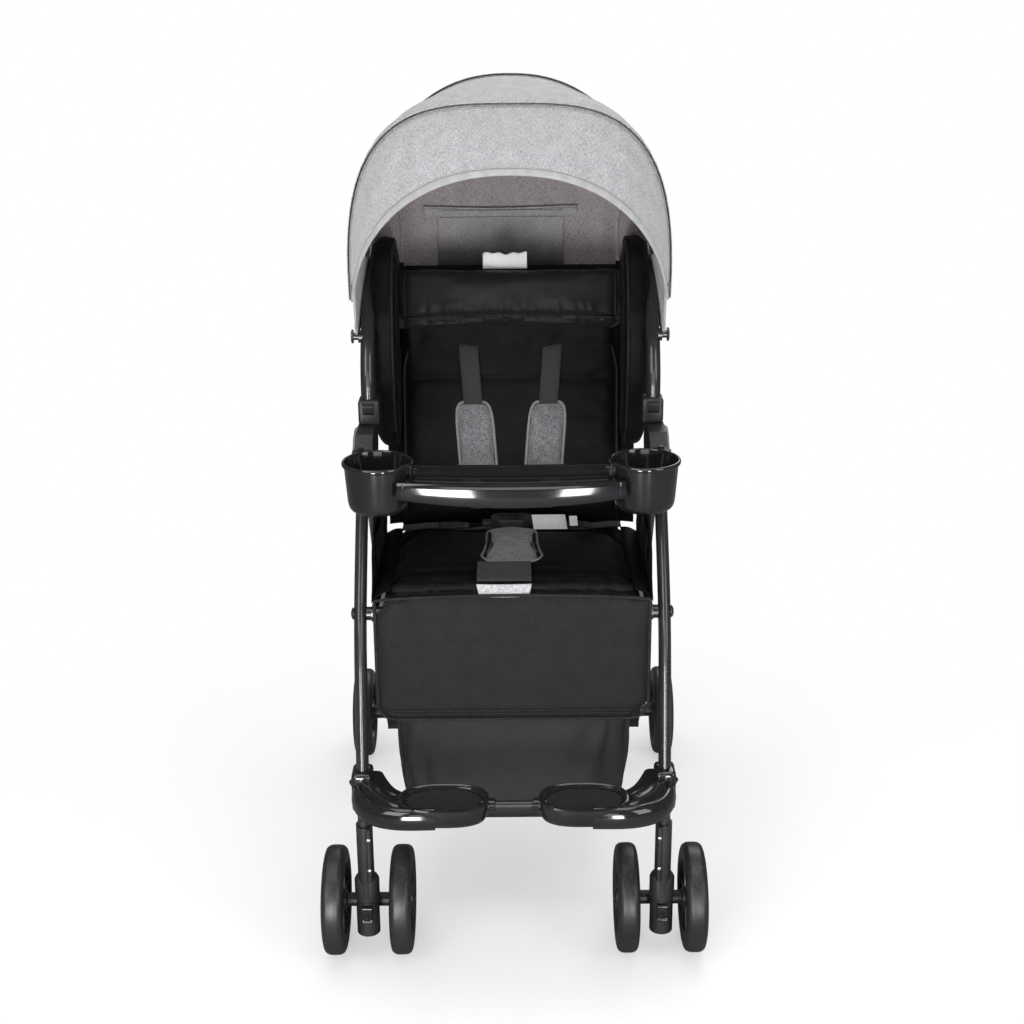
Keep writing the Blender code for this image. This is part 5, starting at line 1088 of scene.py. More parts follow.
def seat_cushion():
    """The seat cushion and the two rolls at its front."""

    def shape(co, normal):
        along = (co - SEAT_FRONT).dot(ALONG)
        front = ridge(along, 0.0, 0.022)
        creases = 0.0016 * math.sin(co.x * 190 + 5 * noise.noise(co * 28)) * front
        soft = crumple(co, 17, 0.0022, (1, 1.6, 1), 2.0) * (0.4 + front)
        seam = -0.004 * (ridge(along, 0.040, 0.0035) + ridge(along, 0.205, 0.004)) * max(0.0, normal.dot(ABOVE))
        return co + normal * (creases + soft + seam)

    base = (SEAT_FRONT + ABOVE * 0.0146, ABOVE)
    pad("seat_cushion", "seat_pad", OXFORD, 0.005, 4.0, 0.008, 0.003, base, shape)
    for label, height, forward, radius in (("upper", 0.4985, 0.0285, 0.0072), ("lower", 0.4905, 0.0250, 0.0062)):
        points = []
        for i in range(81):
            x = 0.150 * (i / 40 - 1)
            droop = 0.0035 * (abs(x) / 0.150) ** 3
            wave = 0.0011 * noise.noise(Vector((x * 26, height * 90, 3)))
            points.append(at(x, forward + 0.002 * (abs(x) / 0.15) ** 2, height - droop + wave))
        roll = curve_mesh(points, radius, 20, smooth=False)
        for vert in roll.verts:
            swell = 0.0013 * math.sin(vert.co.x * 210 + 6 * noise.noise(vert.co * 33) + height * 900)
            near_end = max(0.0, (abs(vert.co.x) - 0.138) / 0.012)
            middle = at(vert.co.x, forward, height - 0.0035 * (abs(vert.co.x) / 0.150) ** 3)
            out = vert.co - middle
            vert.co = middle + out * (1 - 0.55 * min(1.0, near_end) ** 2) + out.normalized() * swell
        made = piece(f"seat_roll_{label}", roll, OXFORD, "frame", sharp=None)
        finer(made)


CALF_HALF, CALF_LOW, CALF_HIGH, CALF_CORNER = 0.1725, 0.322, 0.490, 0.024


def calf_outline(x, z):
    """Rounds the panel's lower corners and arches its upper edge."""
    lift = max(0.0, (z - 0.40) / 0.09)
    z = z + 0.0045 * lift * (1 - (x / CALF_HALF) ** 2) - 0.002 * lift * (abs(x) / CALF_HALF) ** 6
    beyond_x, beyond_z = abs(x) - (CALF_HALF - CALF_CORNER), CALF_LOW + CALF_CORNER - z
    if beyond_x > 0 and beyond_z > 0:
        share = max(beyond_x, beyond_z) / math.hypot(beyond_x, beyond_z)
        x = math.copysign(CALF_HALF - CALF_CORNER + beyond_x * share, x)
        z = CALF_LOW + CALF_CORNER - beyond_z * share
    return x, z


def calf_panel():
    """The padded panel behind the calves, with its seam and stitching."""

    def shape(co, normal):
        x, z = calf_outline(co.x, co.z)
        facing = max(0.0, -normal.y)
        seam = 0.0016 * ridge(z, CALF_LOW + 0.0135, 0.0022) * facing
        soft = crumple(co, 9, 0.0016, (1, 1, 0.7), 5.0) + 0.0006 * math.sin(x * 60) * ridge(z, CALF_HIGH, 0.02)
        return Vector((x, co.y + seam - soft * facing, z))

    back = (at(0, 0.0222, 0), Vector((0, -1, 0)))
    # The calf cushion wears the copy of the black oxford that is painted lighter, as painted light.
    pad("calf_cushion", "calf_panel", CALF_CLOTH_PAINTED_LIT, 0.004, 4.0, 0.004, 0.0015, back, shape)
    sides = 40
    rim = []
    for start, end in (((-1, 0), (1, 0)), ((1, 0), (1, 1)), ((1, 1), (-1, 1)), ((-1, 1), (-1, 0))):
        for i in range(sides):
            t = i / sides
            x = (start[0] + (end[0] - start[0]) * t) * (CALF_HALF - 0.0018)
            z = CALF_LOW + 0.0018 + (start[1] + (end[1] - start[1]) * t) * (CALF_HIGH - CALF_LOW - 0.0036)
            x, z = calf_outline(x, z)
            rim.append(Vector((x, at(0, 0.0150, 0).y, z)))
    mesh = curve_mesh(rim, PIPE_RADIUS, 12, smooth=False, closed=True)
    piece("calf_piping", mesh, PIPING, "frame", sharp=None)
    low = CALF_LOW + 0.0135
    line = [at(0.150 * (i / 30 - 1), 0.0102, low + 0.0022) for i in range(61)]
    edge = [at(0.150 * (i / 30 - 1), 0.0104, low - 0.0022) for i in range(61)]
    stitches("calf_stitches", [line, edge], THREAD, "frame")


def backrest_soft():
    """The backrest cushion, with its creases, channels and piping."""

    def shape(co, normal):
        height = back_height(co)
        facing = max(0.0, normal.dot(LEAN_FRONT))
        border = ridge(abs(co.x), 0.118, 0.02)
        creases = 0.0012 * math.sin(height * 230 + 4 * noise.noise(co * 21)) * border
        soft = crumple(co, 13, 0.0026, (1, 1, 1.4), 8.0)
        band = 0.0024 * math.sin(co.x * 120 + 5 * noise.noise(co * 18)) * ridge(height, 0.293, 0.016)
        seam = -0.0020 * ridge(abs(co.x), 0.1440, 0.0028) * (1 if height < 0.30 else 0)
        channel = -0.0035 * (ridge(height, 0.068, 0.004) + ridge(height, 0.238, 0.004))
        return co + LEAN_FRONT * ((creases + soft + band + seam + channel) * facing)

    base = (on_back(0, 0, 0.0045), LEAN_FRONT)
    pad("backrest_cushion", "backrest_pad", OXFORD_UPRIGHT, 0.005, 4.0, 0.007, 0.003, base, shape)
    for side, sign in SIDES:
        run = []
        for i in range(41):
            height = 0.052 + 0.232 * i / 40
            away = 0.1475 - 0.010 * max(0.0, (height - 0.24) / 0.045) ** 2
            run.append(on_back(sign * away, height, PAD_FRONT - 0.0035))
        mesh = curve_mesh(run, 0.0019, 10, smooth=False)
        piece(f"backrest_piping_{side}", mesh, PIPING, "backrest", sharp=None)


def head_pillow():
    """The head pillow, puckered along its seam."""
    seam_height = 0.326

    def shape(co, normal):
        height = back_height(co)
        facing = max(0.0, normal.dot(LEAN_FRONT))
        arc = seam_height - 0.004 * (abs(co.x) / 0.14) ** 2
        pucker = ridge(height, arc + 0.006, 0.011) + 0.8 * ridge(height, arc - 0.012, 0.010)
        gathers = 0.0019 * math.sin(co.x * 330 + 7 * noise.noise(Vector((co.x * 40, 0, height * 12)))) * pucker
        groove = -0.0075 * ridge(height, arc, 0.0040)
        skirt = -0.006 if height < arc - 0.004 else 0.0
        soft = crumple(co, 15, 0.0030, (0.8, 1, 1.7), 11.0)
        sides = -0.004 * ridge(abs(co.x), 0.1385, 0.0028)
        top = max(0.0, normal.dot(LEAN_UP)) * max(0.0, (height - 0.36) / 0.03)
        wave = (0.002 * noise.noise(Vector((co.x * 22, 1, 2))) - 0.008 * (abs(co.x) / 0.152) ** 6) * top
        puff = math.copysign(0.009 * max(0.0, (abs(co.x) - 0.125) / 0.027), co.x)
        forward = LEAN_FRONT * ((gathers + groove + skirt + soft + sides) * facing)
        return co + forward + LEAN_UP * wave + Vector((puff, 0, 0))

    base = (on_back(0, 0, PAD_FRONT), LEAN_FRONT)
    pad("pillow", "head_pillow", SATIN, 0.0035, 4.0, 0.006, 0.003, base, shape)
    run = []
    for i in range(61):
        x = 0.139 * (i / 30 - 1)
        bulge = 0.0015 * math.cos(x * 20)
        run.append(on_back(x, seam_height - 0.004 * (abs(x) / 0.14) ** 2, PAD_FRONT + 0.0215 + bulge))
    piece("pillow_piping", curve_mesh(run, 0.0016, 10, smooth=False), PIPING, "backrest", sharp=None)
    for side, sign in SIDES:
        run = []
        for i in range(25):
            t = i / 24
            height = 0.326 + 0.062 * t
            run.append(on_back(sign * 0.1430, height, PAD_FRONT + 0.0225 - 0.010 * max(0.0, 2 * t - 1) ** 2))
        mesh = curve_mesh(run, 0.0014, 10, smooth=False)
        piece(f"pillow_side_piping_{side}", mesh, PIPING, "backrest", sharp=None)


WING_LINE = (
    (0.372, 0.610), (0.393, 0.855), (0.350, 0.882), (0.300, 0.868),
    (0.262, 0.790), (0.254, 0.700), (0.278, 0.612), (0.325, 0.590),
)


def gusset(side, sign):
    """The strip of cloth that sews a wing to the backrest's edge."""

    def place(u, v):
        height = 0.032 + 0.365 * v
        fold = 0.0012 * math.sin(height * 160) + 0.0016 * math.sin(height * 61 + 2 * u) * u
        wide = 0.0135 + 0.0120 * min(1.0, max(0.0, (0.190 - height) / 0.045))
        return on_back(sign * (0.146 + wide * u), height, 0.004 + 0.012 * u * u + fold)

    size = (0.028, 0.365)
    made = piece(f"wing_gusset_{side}", cloth_grid(10, 90, place, size), OXFORD_UPRIGHT, "backrest",
                 sharp=None)
    thick(made, 0.0015, 0.0)


def wings():
    """The padded side wings and their gussets."""
    middle_y = sum(y for y, _ in WING_LINE) / len(WING_LINE)
    middle_z = sum(z for _, z in WING_LINE) / len(WING_LINE)
    for side, sign in SIDES:
        def shape(co, normal):
            soft = crumple(co, 14, 0.0020, (1, 1, 1), 3.0 * sign)
            outward = max(0.0, sign * normal.x)
            return co + Vector((normal.x * soft + sign * outward * 0.004, 0, 0))

        pad(f"wing_{side}", f"side_wing_{side}", OXFORD_UPRIGHT,
            0.0035, 4.0, 0.004, 0.001, None, shape)
        gusset(side, sign)
        rim = []
        count = len(WING_LINE)
        for i in range(count):
            (y0, z0), (y1, z1), (y2, z2) = (WING_LINE[(i + k) % count] for k in (-1, 0, 1))
            for step in range(12):
                t = step / 12
                start, end = ((y0 + y1) / 2, (z0 + z1) / 2), ((y1 + y2) / 2, (z1 + z2) / 2)
                y = (1 - t) ** 2 * start[0] + 2 * t * (1 - t) * y1 + t * t * end[0]
                z = (1 - t) ** 2 * start[1] + 2 * t * (1 - t) * z1 + t * t * end[1]
                reach = Vector((0, y - middle_y, z - middle_z)) * 0.992
                rim.append(at(sign * 0.1563, middle_y + reach.y, middle_z + reach.z))
        mesh = curve_mesh(rim, 0.0018, 10, smooth=False, closed=True)
        piece(f"wing_piping_{side}", mesh, PIPING, "backrest", sharp=None)


def seat_sides():
    """The padded panels beside the seat."""
    for side, sign in SIDES:
        def shape(co, normal):
            fold = 0.0016 * math.sin(co.y * 75 + co.z * 50 + 3 * noise.noise(co * 16))
            soft = crumple(co, 16, 0.0024, (1, 1, 1), 6.0 * sign)
            return co + Vector((abs(normal.x) * (fold + soft) * sign, 0, 0))

        pad(f"seat_side_cloth_{side}", f"seat_side_{side}", OXFORD_UPRIGHT, 0.003, 1.0, 0.002, 0.0008,
            None, shape)


def seat_skirts():
    """The cloth beside the seat: a panel up to the armrest, and the strip that sews it to the cushion."""
    for side, sign in SIDES:
        def wall(u, v):
            front = at(0, 0.028, 0.478).lerp(at(0, 0.118, 0.592), v)
            rear = at(0, 0.300, 0.470).lerp(at(0, 0.250, 0.600), v)
            spot = front.lerp(rear, u)
            fold = 0.0010 * math.sin(u * 30 + v * 4 + 2 * noise.noise(spot * 12)) * math.sin(math.pi * v)
            return Vector((sign * (0.1750 + fold), spot.y, spot.z))

        size = (0.27, 0.14)
        made = piece(f"seat_skirt_{side}", cloth_grid(60, 30, wall, size), OXFORD_UPRIGHT, "frame",
                     sharp=None)
        thick(made, 0.0010, 0.0)

        def strip(u, v):
            inner = on_seat(0.152, -0.004 + 0.270 * u, -0.014)
            outer = at(0.1744, 0.030 + 0.262 * u, 0.4795 - 0.006 * u)
            place_ = inner.lerp(outer, v)
            return Vector((sign * place_.x, place_.y, place_.z + 0.003 * math.sin(math.pi * v)))

        size = (0.27, 0.024)
        made = piece(f"seat_gusset_{side}", cloth_grid(50, 6, strip, size), OXFORD, "frame", sharp=None)
        thick(made, 0.0012, 0.0)


seat_cushion()
seat_skirts()
calf_panel()
backrest_soft()
head_pillow()
wings()
seat_sides()


# Harness

STRAP_TOP, STRAP_BOTTOM, STRAP_LEAN = 0.285, 0.045, 0.018
SHOULDER_PAD_TOP = STRAP_BOTTOM + 0.162


def strap_middle(height):
    """How far out a shoulder strap runs at this height."""
    return 0.058 - STRAP_LEAN * (STRAP_TOP - height) / (STRAP_TOP - STRAP_BOTTOM)


def webbing(name, points, across, width, body, stands_for=(), finish=None,
            thickness=0.0015):
    """A strap along a line of points. Across gives the way of its width."""
    points = smooth_line(points, 10)
    across = Vector(across).normalized()
    mesh = bmesh.new()
    layer = mesh.loops.layers.uv.verify()
    bmesh.ops.create_grid(mesh, x_segments=4, y_segments=len(points) - 1, size=0.5)
    total = sum((b - a).length for a, b in zip(points, points[1:]))
    for vert in mesh.verts:
        along = (vert.co.y + 0.5) * (len(points) - 1)
        index = min(int(along + 1e-4), len(points) - 2)
        middle = points[index].lerp(points[index + 1], along - index)
        for loop in vert.link_loops:
            loop[layer].uv = (vert.co.x * width, along / (len(points) - 1) * total)
        vert.co = middle + across * vert.co.x * width
    made = piece(name, mesh, finish or WEBBING, body, stands_for, sharp=None)
    thick(made, thickness, 0.0)
    modifier(made, "BEVEL", width=0.0004, segments=1, limit_method="ANGLE", angle_limit=math.radians(60))
    return made


def pad_rim(name, outline, body):
    """A bound edge round a small pad."""
    rounded_line = smooth_line([*outline, outline[0]], 8)[:-1]
    mesh = curve_mesh(rounded_line, 0.0021, 12, smooth=False, closed=True)
    return piece(name, mesh, BOUND_EDGE, body, sharp=None)


BOUND_EDGE = cloth_finish(
    "grey_bound_edge", (0.30, 0.30, 0.31), (0.12, 0.12, 0.125), 1500.0, rough=0.8, streaks=0.6, turn=(90, 0, 0)
)


def shoulder_harness(side, sign):
    """One shoulder pad, its strap and their stitching."""
    half, length = 0.026, 0.150
    start_height = SHOULDER_PAD_TOP - length
    foot, head = (strap_middle(h) for h in (start_height, SHOULDER_PAD_TOP))

    def spot(u, v, above):
        """A place on the pad: u across from -1 to 1, v up from 0 to 1."""
        x = foot + (head - foot) * v + u * half
        return on_back(sign * x, start_height + length * v, PAD_FRONT + 0.0003 + above)

    def width_at(v):
        top = min(1.0, (1 - v) / 0.10)
        low = min(1.0, v / 0.12)
        return math.sqrt(max(0.02, 1 - (1 - top) ** 2)) * math.sqrt(max(0.02, 1 - (1 - low) ** 2))

    def shape(co, normal):
        height = back_height(co)
        v = min(1.0, max(0.0, (height - start_height) / length))
        middle = sign * (foot + (head - foot) * v)
        x = middle + (co.x - middle) * width_at(v)
        soft = crumple(co, 22, 0.0009, (1, 1, 1), 4.0 + sign)
        fold = -0.0016 * ridge(v, 0.48, 0.02)
        return Vector((x, co.y, co.z)) + LEAN_FRONT * ((soft + fold) * max(0.0, normal.dot(LEAN_FRONT)))

    base = (on_back(0, 0, PAD_FRONT), LEAN_FRONT)
    name = f"shoulder_pad_{side}"
    pad(f"{name}_cloth", name, MELANGE_PAD, 0.0025, 2.0, 0.002, 0.0008, base, shape)
    ring, inner = [], []
    for i in range(56):
        turn = 2 * math.pi * i / 56
        u = math.copysign(abs(math.cos(turn)) ** 0.35, math.cos(turn))
        v = 0.5 + 0.5 * math.copysign(abs(math.sin(turn)) ** 0.35, math.sin(turn))
        ring.append(spot(u * 0.97, 0.007 + v * 0.986, 0.0038))
        inner.append(spot(u * 0.80, 0.035 + v * 0.93, 0.0086))
    pad_rim(f"{name}_edge", ring, "backrest")
    stitches(f"{name}_stitches", [inner + inner[:1]], GREY_THREAD, "backrest", long=0.0026,
             thick_=0.00035)
    top = STRAP_TOP
    line = [on_back(sign * strap_middle(h), h, PAD_FRONT + 0.0016 + rise) for h, rise in (
        (top + 0.004, -0.006), (top - 0.004, 0.0040), (0.262, 0.0066), (0.225, 0.0070),
        (SHOULDER_PAD_TOP - 0.004, 0.0060)
    )]
    webbing(f"shoulder_strap_{side}_web", line, (1, 0, 0), 0.026, "backrest", [f"shoulder_strap_{side}"])
    slit = cushioned_box((-0.018, -0.0015, -0.0022), (0.018, 0.0015, 0.0022), 0.0012, 2)
    turn = Matrix((Vector((1, 0, 0)), -LEAN_FRONT, LEAN_UP)).transposed().to_4x4()
    bmesh.ops.transform(
        slit, matrix=Matrix.Translation(on_back(sign * strap_middle(top), top + 0.003, PAD_FRONT - 0.0012)) @ turn,
        verts=slit.verts
    )
    piece(f"strap_slot_{side}", slit, PIPING, "backrest", sharp=None)


def crotch_pad():
    """The pad between the legs, with its bound edge."""
    half, start, length = 0.040, 0.054, 0.150

    def width_at(v):
        flare = 0.86 + 0.14 * ridge(v, 0.16, 0.14)
        return flare * math.sqrt(max(0.02, 1 - (1 - min(1.0, (1 - v) / 0.10)) ** 2))

    def shape(co, normal):
        v = min(1.0, max(0.0, ((co - SEAT_FRONT).dot(ALONG) - start) / length))
        soft = crumple(co, 20, 0.0010, (1, 1, 1), 9.0)
        return Vector((co.x * width_at(v), co.y, co.z)) + ABOVE * (soft * max(0.0, normal.dot(ABOVE)))

    base = (SEAT_FRONT + ABOVE * (SEAT_TOP + 0.0001), ABOVE)
    pad("crotch_pad_cloth", "crotch_pad", MELANGE_SEAT, 0.0025, 2.0, 0.002, 0.0008, base, shape)
    ring, inner = [], []
    for i in range(56):
        turn = 2 * math.pi * i / 56
        u = math.copysign(abs(math.cos(turn)) ** 0.35, math.cos(turn))
        v = 0.5 + 0.5 * math.copysign(abs(math.sin(turn)) ** 0.35, math.sin(turn))
        wide = half * width_at(v)
        ring.append(on_seat(u * (wide - 0.0006), start + 0.001 + length * (0.993 * v), 0.0036))
        inner.append(on_seat(u * (wide - 0.0080), start + 0.006 + length * (0.92 * v), 0.0079))
    pad_rim("crotch_pad_edge", ring, "frame")
    seam = [inner + inner[:1]]
    stitches("crotch_pad_stitches", seam, GREY_THREAD, "frame", long=0.0026, thick_=0.00035)


def crotch_strap():
    """The crotch pad's tail, which runs over the seat's front roll: a black loop, then a bound grey tip."""
    line = [on_seat(-0.010, along, up) for along, up in ((0.054, 0.0040), (0.040, 0.0034), (0.024, 0.0036))]
    line += [on_seat(-0.010, along, up) for along, up in ((0.008, 0.0034), (-0.003, 0.0022), (-0.008, -0.0010))]
    made = webbing("crotch_loop", line, (1, 0, 0), 0.068, "frame", thickness=0.0022)
    for row in range(3):
        place = [Vector((x, p.y, p.z)) for p, x in ((line[2 + row], -0.040 + 0.0015 * k) for k in range(41))]
        lifted = [p + Vector((0, -0.0013, 0.0013)) for p in place]
        stitches(f"crotch_loop_stitches_{row}", [lifted], THREAD, "frame", long=0.0024)

    def tip(u, v):
        x = -0.010 + 0.0345 * (2 * u - 1) * (1 - 0.10 * v)
        place = at(x, 0.0235 - 0.0060 * v, 0.5045 - 0.0130 * v)
        return place + Vector((0, -0.0012 * math.sin(math.pi * u), 0))

    size = (0.069, 0.015)
    cloth = piece("crotch_tip", cloth_grid(24, 8, tip, size), MELANGE_HOOD, "frame", sharp=None)
    thick(cloth, 0.0024, 0.0)
    modifier(cloth, "BEVEL", width=0.0008, segments=2, limit_method="ANGLE", angle_limit=math.radians(60))
    edge = [tip(i / 20, 1.0) + Vector((0, -0.0006, -0.0002)) for i in range(21)]
    piece("crotch_tip_edge", curve_mesh(edge, 0.0013, 10, smooth=False), PALE_EDGE, "frame", sharp=None)
    return made


PALE_EDGE = cloth_finish("pale_edge", (0.78, 0.78, 0.77), (0.55, 0.55, 0.55), 2200.0, depth=0.00004, streaks=0.5)


SLIDER_WIDTH = 0.030


def slider(name, middle, across, along, body):
    """A webbing slider: a rounded frame with a bar across its middle."""
    across, along = Vector(across).normalized(), Vector(along).normalized()
    above = across.cross(along)
    mesh = bmesh.new()
    corners = [(-1, -1), (1, -1), (1, 1), (-1, 1)]
    ring = []
    for (a, b), (c, d) in zip(corners, corners[1:] + corners[:1]):
        for step in range(6):
            t = 0.14 + 0.72 * step / 5
            ring.append(middle + across * (a + (c - a) * t) * SLIDER_WIDTH / 2 + along * (b + (d - b) * t) * 0.0095)
    add_to(mesh, curve_mesh(smooth_line([*ring, ring[0]], 3)[:-1], 0.0018, 10, smooth=False, closed=True))
    for shift in (-0.0022, 0.0026):
        ends = [middle + across * away * SLIDER_WIDTH / 2 + along * shift + above * 0.0012 for away in (-0.97, 0.97)]
        add_to(mesh, bar(*ends, 0.0014, 12))
    return piece(name, mesh, MOULDED, body)


BELT_ALONG = 0.2226  # from the seat's front edge back to the lap belt


def waist_and_buckle():
    """The lap belt, its sliders and turned ends, the buckle and the bare tags."""
    along = BELT_ALONG
    ends = []
    for sign in (1, -1):
        line = []
        for i in range(9):
            x = 0.150 - 0.130 * i / 8
            sag = 0.0006 + 0.0012 * math.sin(i * 1.1 + sign)
            line.append(on_seat(sign * x, along + 0.003 * math.sin(i * 0.8 + sign), sag + 0.0012))
        ends.append(line)
    left = webbing("lap_belt_left_web", ends[0], ALONG, 0.025, "frame", ["lap_belt"])
    webbing("lap_belt_right_web", ends[1], ALONG, 0.025, "frame")
    slider("belt_slider_left", on_seat(0.083, along, 0.0042), (1, 0, 0), ALONG, "frame")
    slider("belt_slider_right", on_seat(-0.083, along, 0.0042), (1, 0, 0), ALONG, "frame")
    for number, x in enumerate((0.083, -0.083)):
        fold = [on_seat(x + 0.012 * k, along, 0.0030 + 0.0010 * (k == 1)) for k in (-1, 0, 1, 2)]
        webbing(f"belt_turn_{number}", fold, ALONG, 0.0235, "frame")
    eased("buckle", MOULDED, 0.0022, 4)
    eased("buckle_button", MOULDED, 0.0008, 3)
    for side, sign in SIDES:
        prong = cushioned_box((-0.007, -0.0085, -0.0028), (0.007, 0.0085, 0.0028), 0.0016, 3)
        turn = Matrix((Vector((1, 0, 0)), ALONG, ABOVE)).transposed().to_4x4()
        place = on_seat(sign * 0.0335, along, 0.0072)
        bmesh.ops.transform(prong, matrix=Matrix.Translation(place) @ turn, verts=prong.verts)
        piece(f"buckle_prong_{side}", prong, MOULDED, "frame")
    tag_line = [on_seat(0.050, along - 0.004, 0.0190), on_seat(0.051, along - 0.010, 0.0150),
                on_seat(0.052, along - 0.016, 0.0090), on_seat(0.053, along - 0.024, 0.0040)]
    webbing("belt_tag", tag_line, (1, 0, 0), 0.046, "frame",
            finish=TAG, thickness=0.0005)
    small = [on_seat(0.084, along - 0.006, 0.0175), on_seat(0.085, along - 0.016, 0.0060)]
    webbing("belt_tag_small", small, (1, 0, 0), 0.011, "frame", finish=TAG,
            thickness=0.0005)
    return left


def pillow_tag():
    """The blank care tag that stands up behind the pillow."""

    def place(u, v):
        x = -0.0065 + 0.031 * (u - 0.5) * 2 * 0.97
        lean = 0.0010 * math.sin(u * 9) + 0.0012 * math.sin(u * 21)
        return on_back(x, 0.388 + 0.021 * v + lean * v, PAD_FRONT + 0.004 + 0.003 * math.sin(u * 6) * v)

    size = (0.062, 0.021)
    made = piece("pillow_tag", cloth_grid(30, 8, place, size), TAG, "backrest", sharp=None)
    thick(made, 0.0006, 0.0)


for side, sign in SIDES:
    shoulder_harness(side, sign)
crotch_pad()
crotch_strap()
waist_and_buckle()
pillow_tag()


# Basket and the backrest's rear

BASKET_HALF, BASKET_FRONT, BASKET_REAR = 0.155, 0.040, 0.4558
BASKET_FLOOR, BASKET_FRONT_TOP, BASKET_REAR_TOP = 0.162, 0.330, 0.203


def basket_place(turn, level, inset=0.0):
    """A place on the bin's wall: turn goes round it, and level goes from the floor at 0 to the rim at 1."""
    across, along = math.cos(turn), math.sin(turn)
    power = 0.28
    middle_y, half_y = (BASKET_FRONT + BASKET_REAR) / 2, (BASKET_REAR - BASKET_FRONT) / 2
    x = math.copysign(abs(across) ** power, across)
    y = math.copysign(abs(along) ** power, along)
    pulled = 0.010 * (1 - level) ** 2 + inset
    rim = BASKET_FRONT_TOP + (BASKET_REAR_TOP - BASKET_FRONT_TOP) * (y + 1) / 2
    slack = math.sin(math.pi * min(1.0, level * 1.05)) * 0.0028
    fold = slack * math.sin(turn * 14 + 4 * noise.noise(Vector((x * 2, y * 2, level * 2))))
    dip = 0.005 * (abs(math.sin(2 * turn)) ** 2 - 0.5) * level if abs(x) > 0.97 else 0.0
    height = BASKET_FLOOR + 0.004 * level + (rim - BASKET_FLOOR) * level + dip
    return at((BASKET_HALF - pulled + fold) * x, middle_y + (half_y - pulled + fold) * y, height)


def basket():
    """The basket: its cloth in one cut, its rim, seams and hangers."""
    rings = 18
    count = 144
    mesh = bmesh.new()
    bmesh.ops.create_grid(mesh, x_segments=count, y_segments=rings, size=0.5)
    for vert in mesh.verts:
        vert.co = basket_place((vert.co.x + 0.5) * 2 * math.pi, vert.co.y + 0.5)
    bmesh.ops.remove_doubles(mesh, verts=mesh.verts, dist=1e-5)
    lowest = [e for e in mesh.edges if e.is_boundary and max(v.co.z for v in e.verts) < BASKET_FLOOR + 0.003]
    corner = bmesh.ops.extrude_edge_only(mesh, edges=lowest)
    fresh = [v for v in corner["geom"] if isinstance(v, bmesh.types.BMVert)]
    middle = at(0, (BASKET_FRONT + BASKET_REAR) / 2, BASKET_FLOOR + 0.0006)
    for vert in fresh:
        vert.co = vert.co.lerp(middle, 0.06)
        vert.co.z = BASKET_FLOOR + 0.0006
    inner = [e for e in corner["geom"] if isinstance(e, bmesh.types.BMEdge) and all(v in fresh for v in e.verts)]
    bmesh.ops.contextual_create(mesh, geom=inner)
    tidy(mesh)
    # The basket cloth wears the copy of the black cloth that is painted lighter, as painted light.
    made = piece("basket_cloth", mesh, BIN_CLOTH_PAINTED_LIT, "frame", ["basket"], sharp=None)
    thick(made, 0.0014, 0.0)
    rim = [basket_place(2 * math.pi * i / 160, 1.0, 0.0004) for i in range(160)]
    piece("basket_rim", curve_mesh(rim, 0.0026, 12, smooth=False, closed=True), PIPING, "frame",
          sharp=None)
    edge = [basket_place(2 * math.pi * i / 160, 0.0, 0.0) + Vector((0, 0, 0.002)) for i in range(160)]
    piece("basket_seam", curve_mesh(edge, 0.0018, 10, smooth=False, closed=True), PIPING, "frame",
          sharp=None)
    rows = [[basket_place(2 * math.pi * i / 160, level, -0.0009) for i in range(161)] for level in (0.93, 0.90)]
    stitches("basket_stitches", rows, THREAD, "frame", long=0.004)
    for side, sign in SIDES:
        corner_line = []
        for i in range(31):
            level = i / 30
            turn = -math.pi / 2 + sign * (math.pi / 2 - 0.62)
            corner_line.append(basket_place(turn, 0.02 + 0.97 * level, -0.0008))
        piece(f"basket_corner_seam_{side}", curve_mesh(corner_line, 0.0013, 8, smooth=False), PIPING, "frame",
              sharp=None)
        hanger = [at(sign * 0.140, 0.0425, 0.318), at(sign * 0.140, 0.0410, 0.345), at(sign * 0.140, 0.0395, 0.400),
                  at(sign * 0.140, 0.0435, 0.448), at(sign * 0.140, 0.0435, 0.463)]
        webbing(f"basket_hanger_{side}", hanger, (1, 0, 0), 0.020, "frame")


def backrest_rear():
    """The board's cloth cover, with a seam round its rear face."""
    eased("backrest_board", OXFORD_UPRIGHT, 0.0025, 4)
    corners = [(-0.143, 0.045), (0.143, 0.045), (0.143, 0.384), (-0.143, 0.384)]
    line = []
    for (a, b), (c, d) in zip(corners, corners[1:] + corners[:1]):
        for step in range(20):
            t = step / 20
            line.append(on_back(a + (c - a) * t, b + (d - b) * t, -0.0040))
    piece("board_seam", curve_mesh(line, 0.0012, 8, smooth=False, closed=True), PIPING, "backrest",
          sharp=None)


basket()
backrest_rear()


# Wheels

AXLE_MIDDLE = at(0, 0, 0.070)
REAR_AXLE_MIDDLE = at(0, 0.545, 0.070)
LEG_X = 0.190


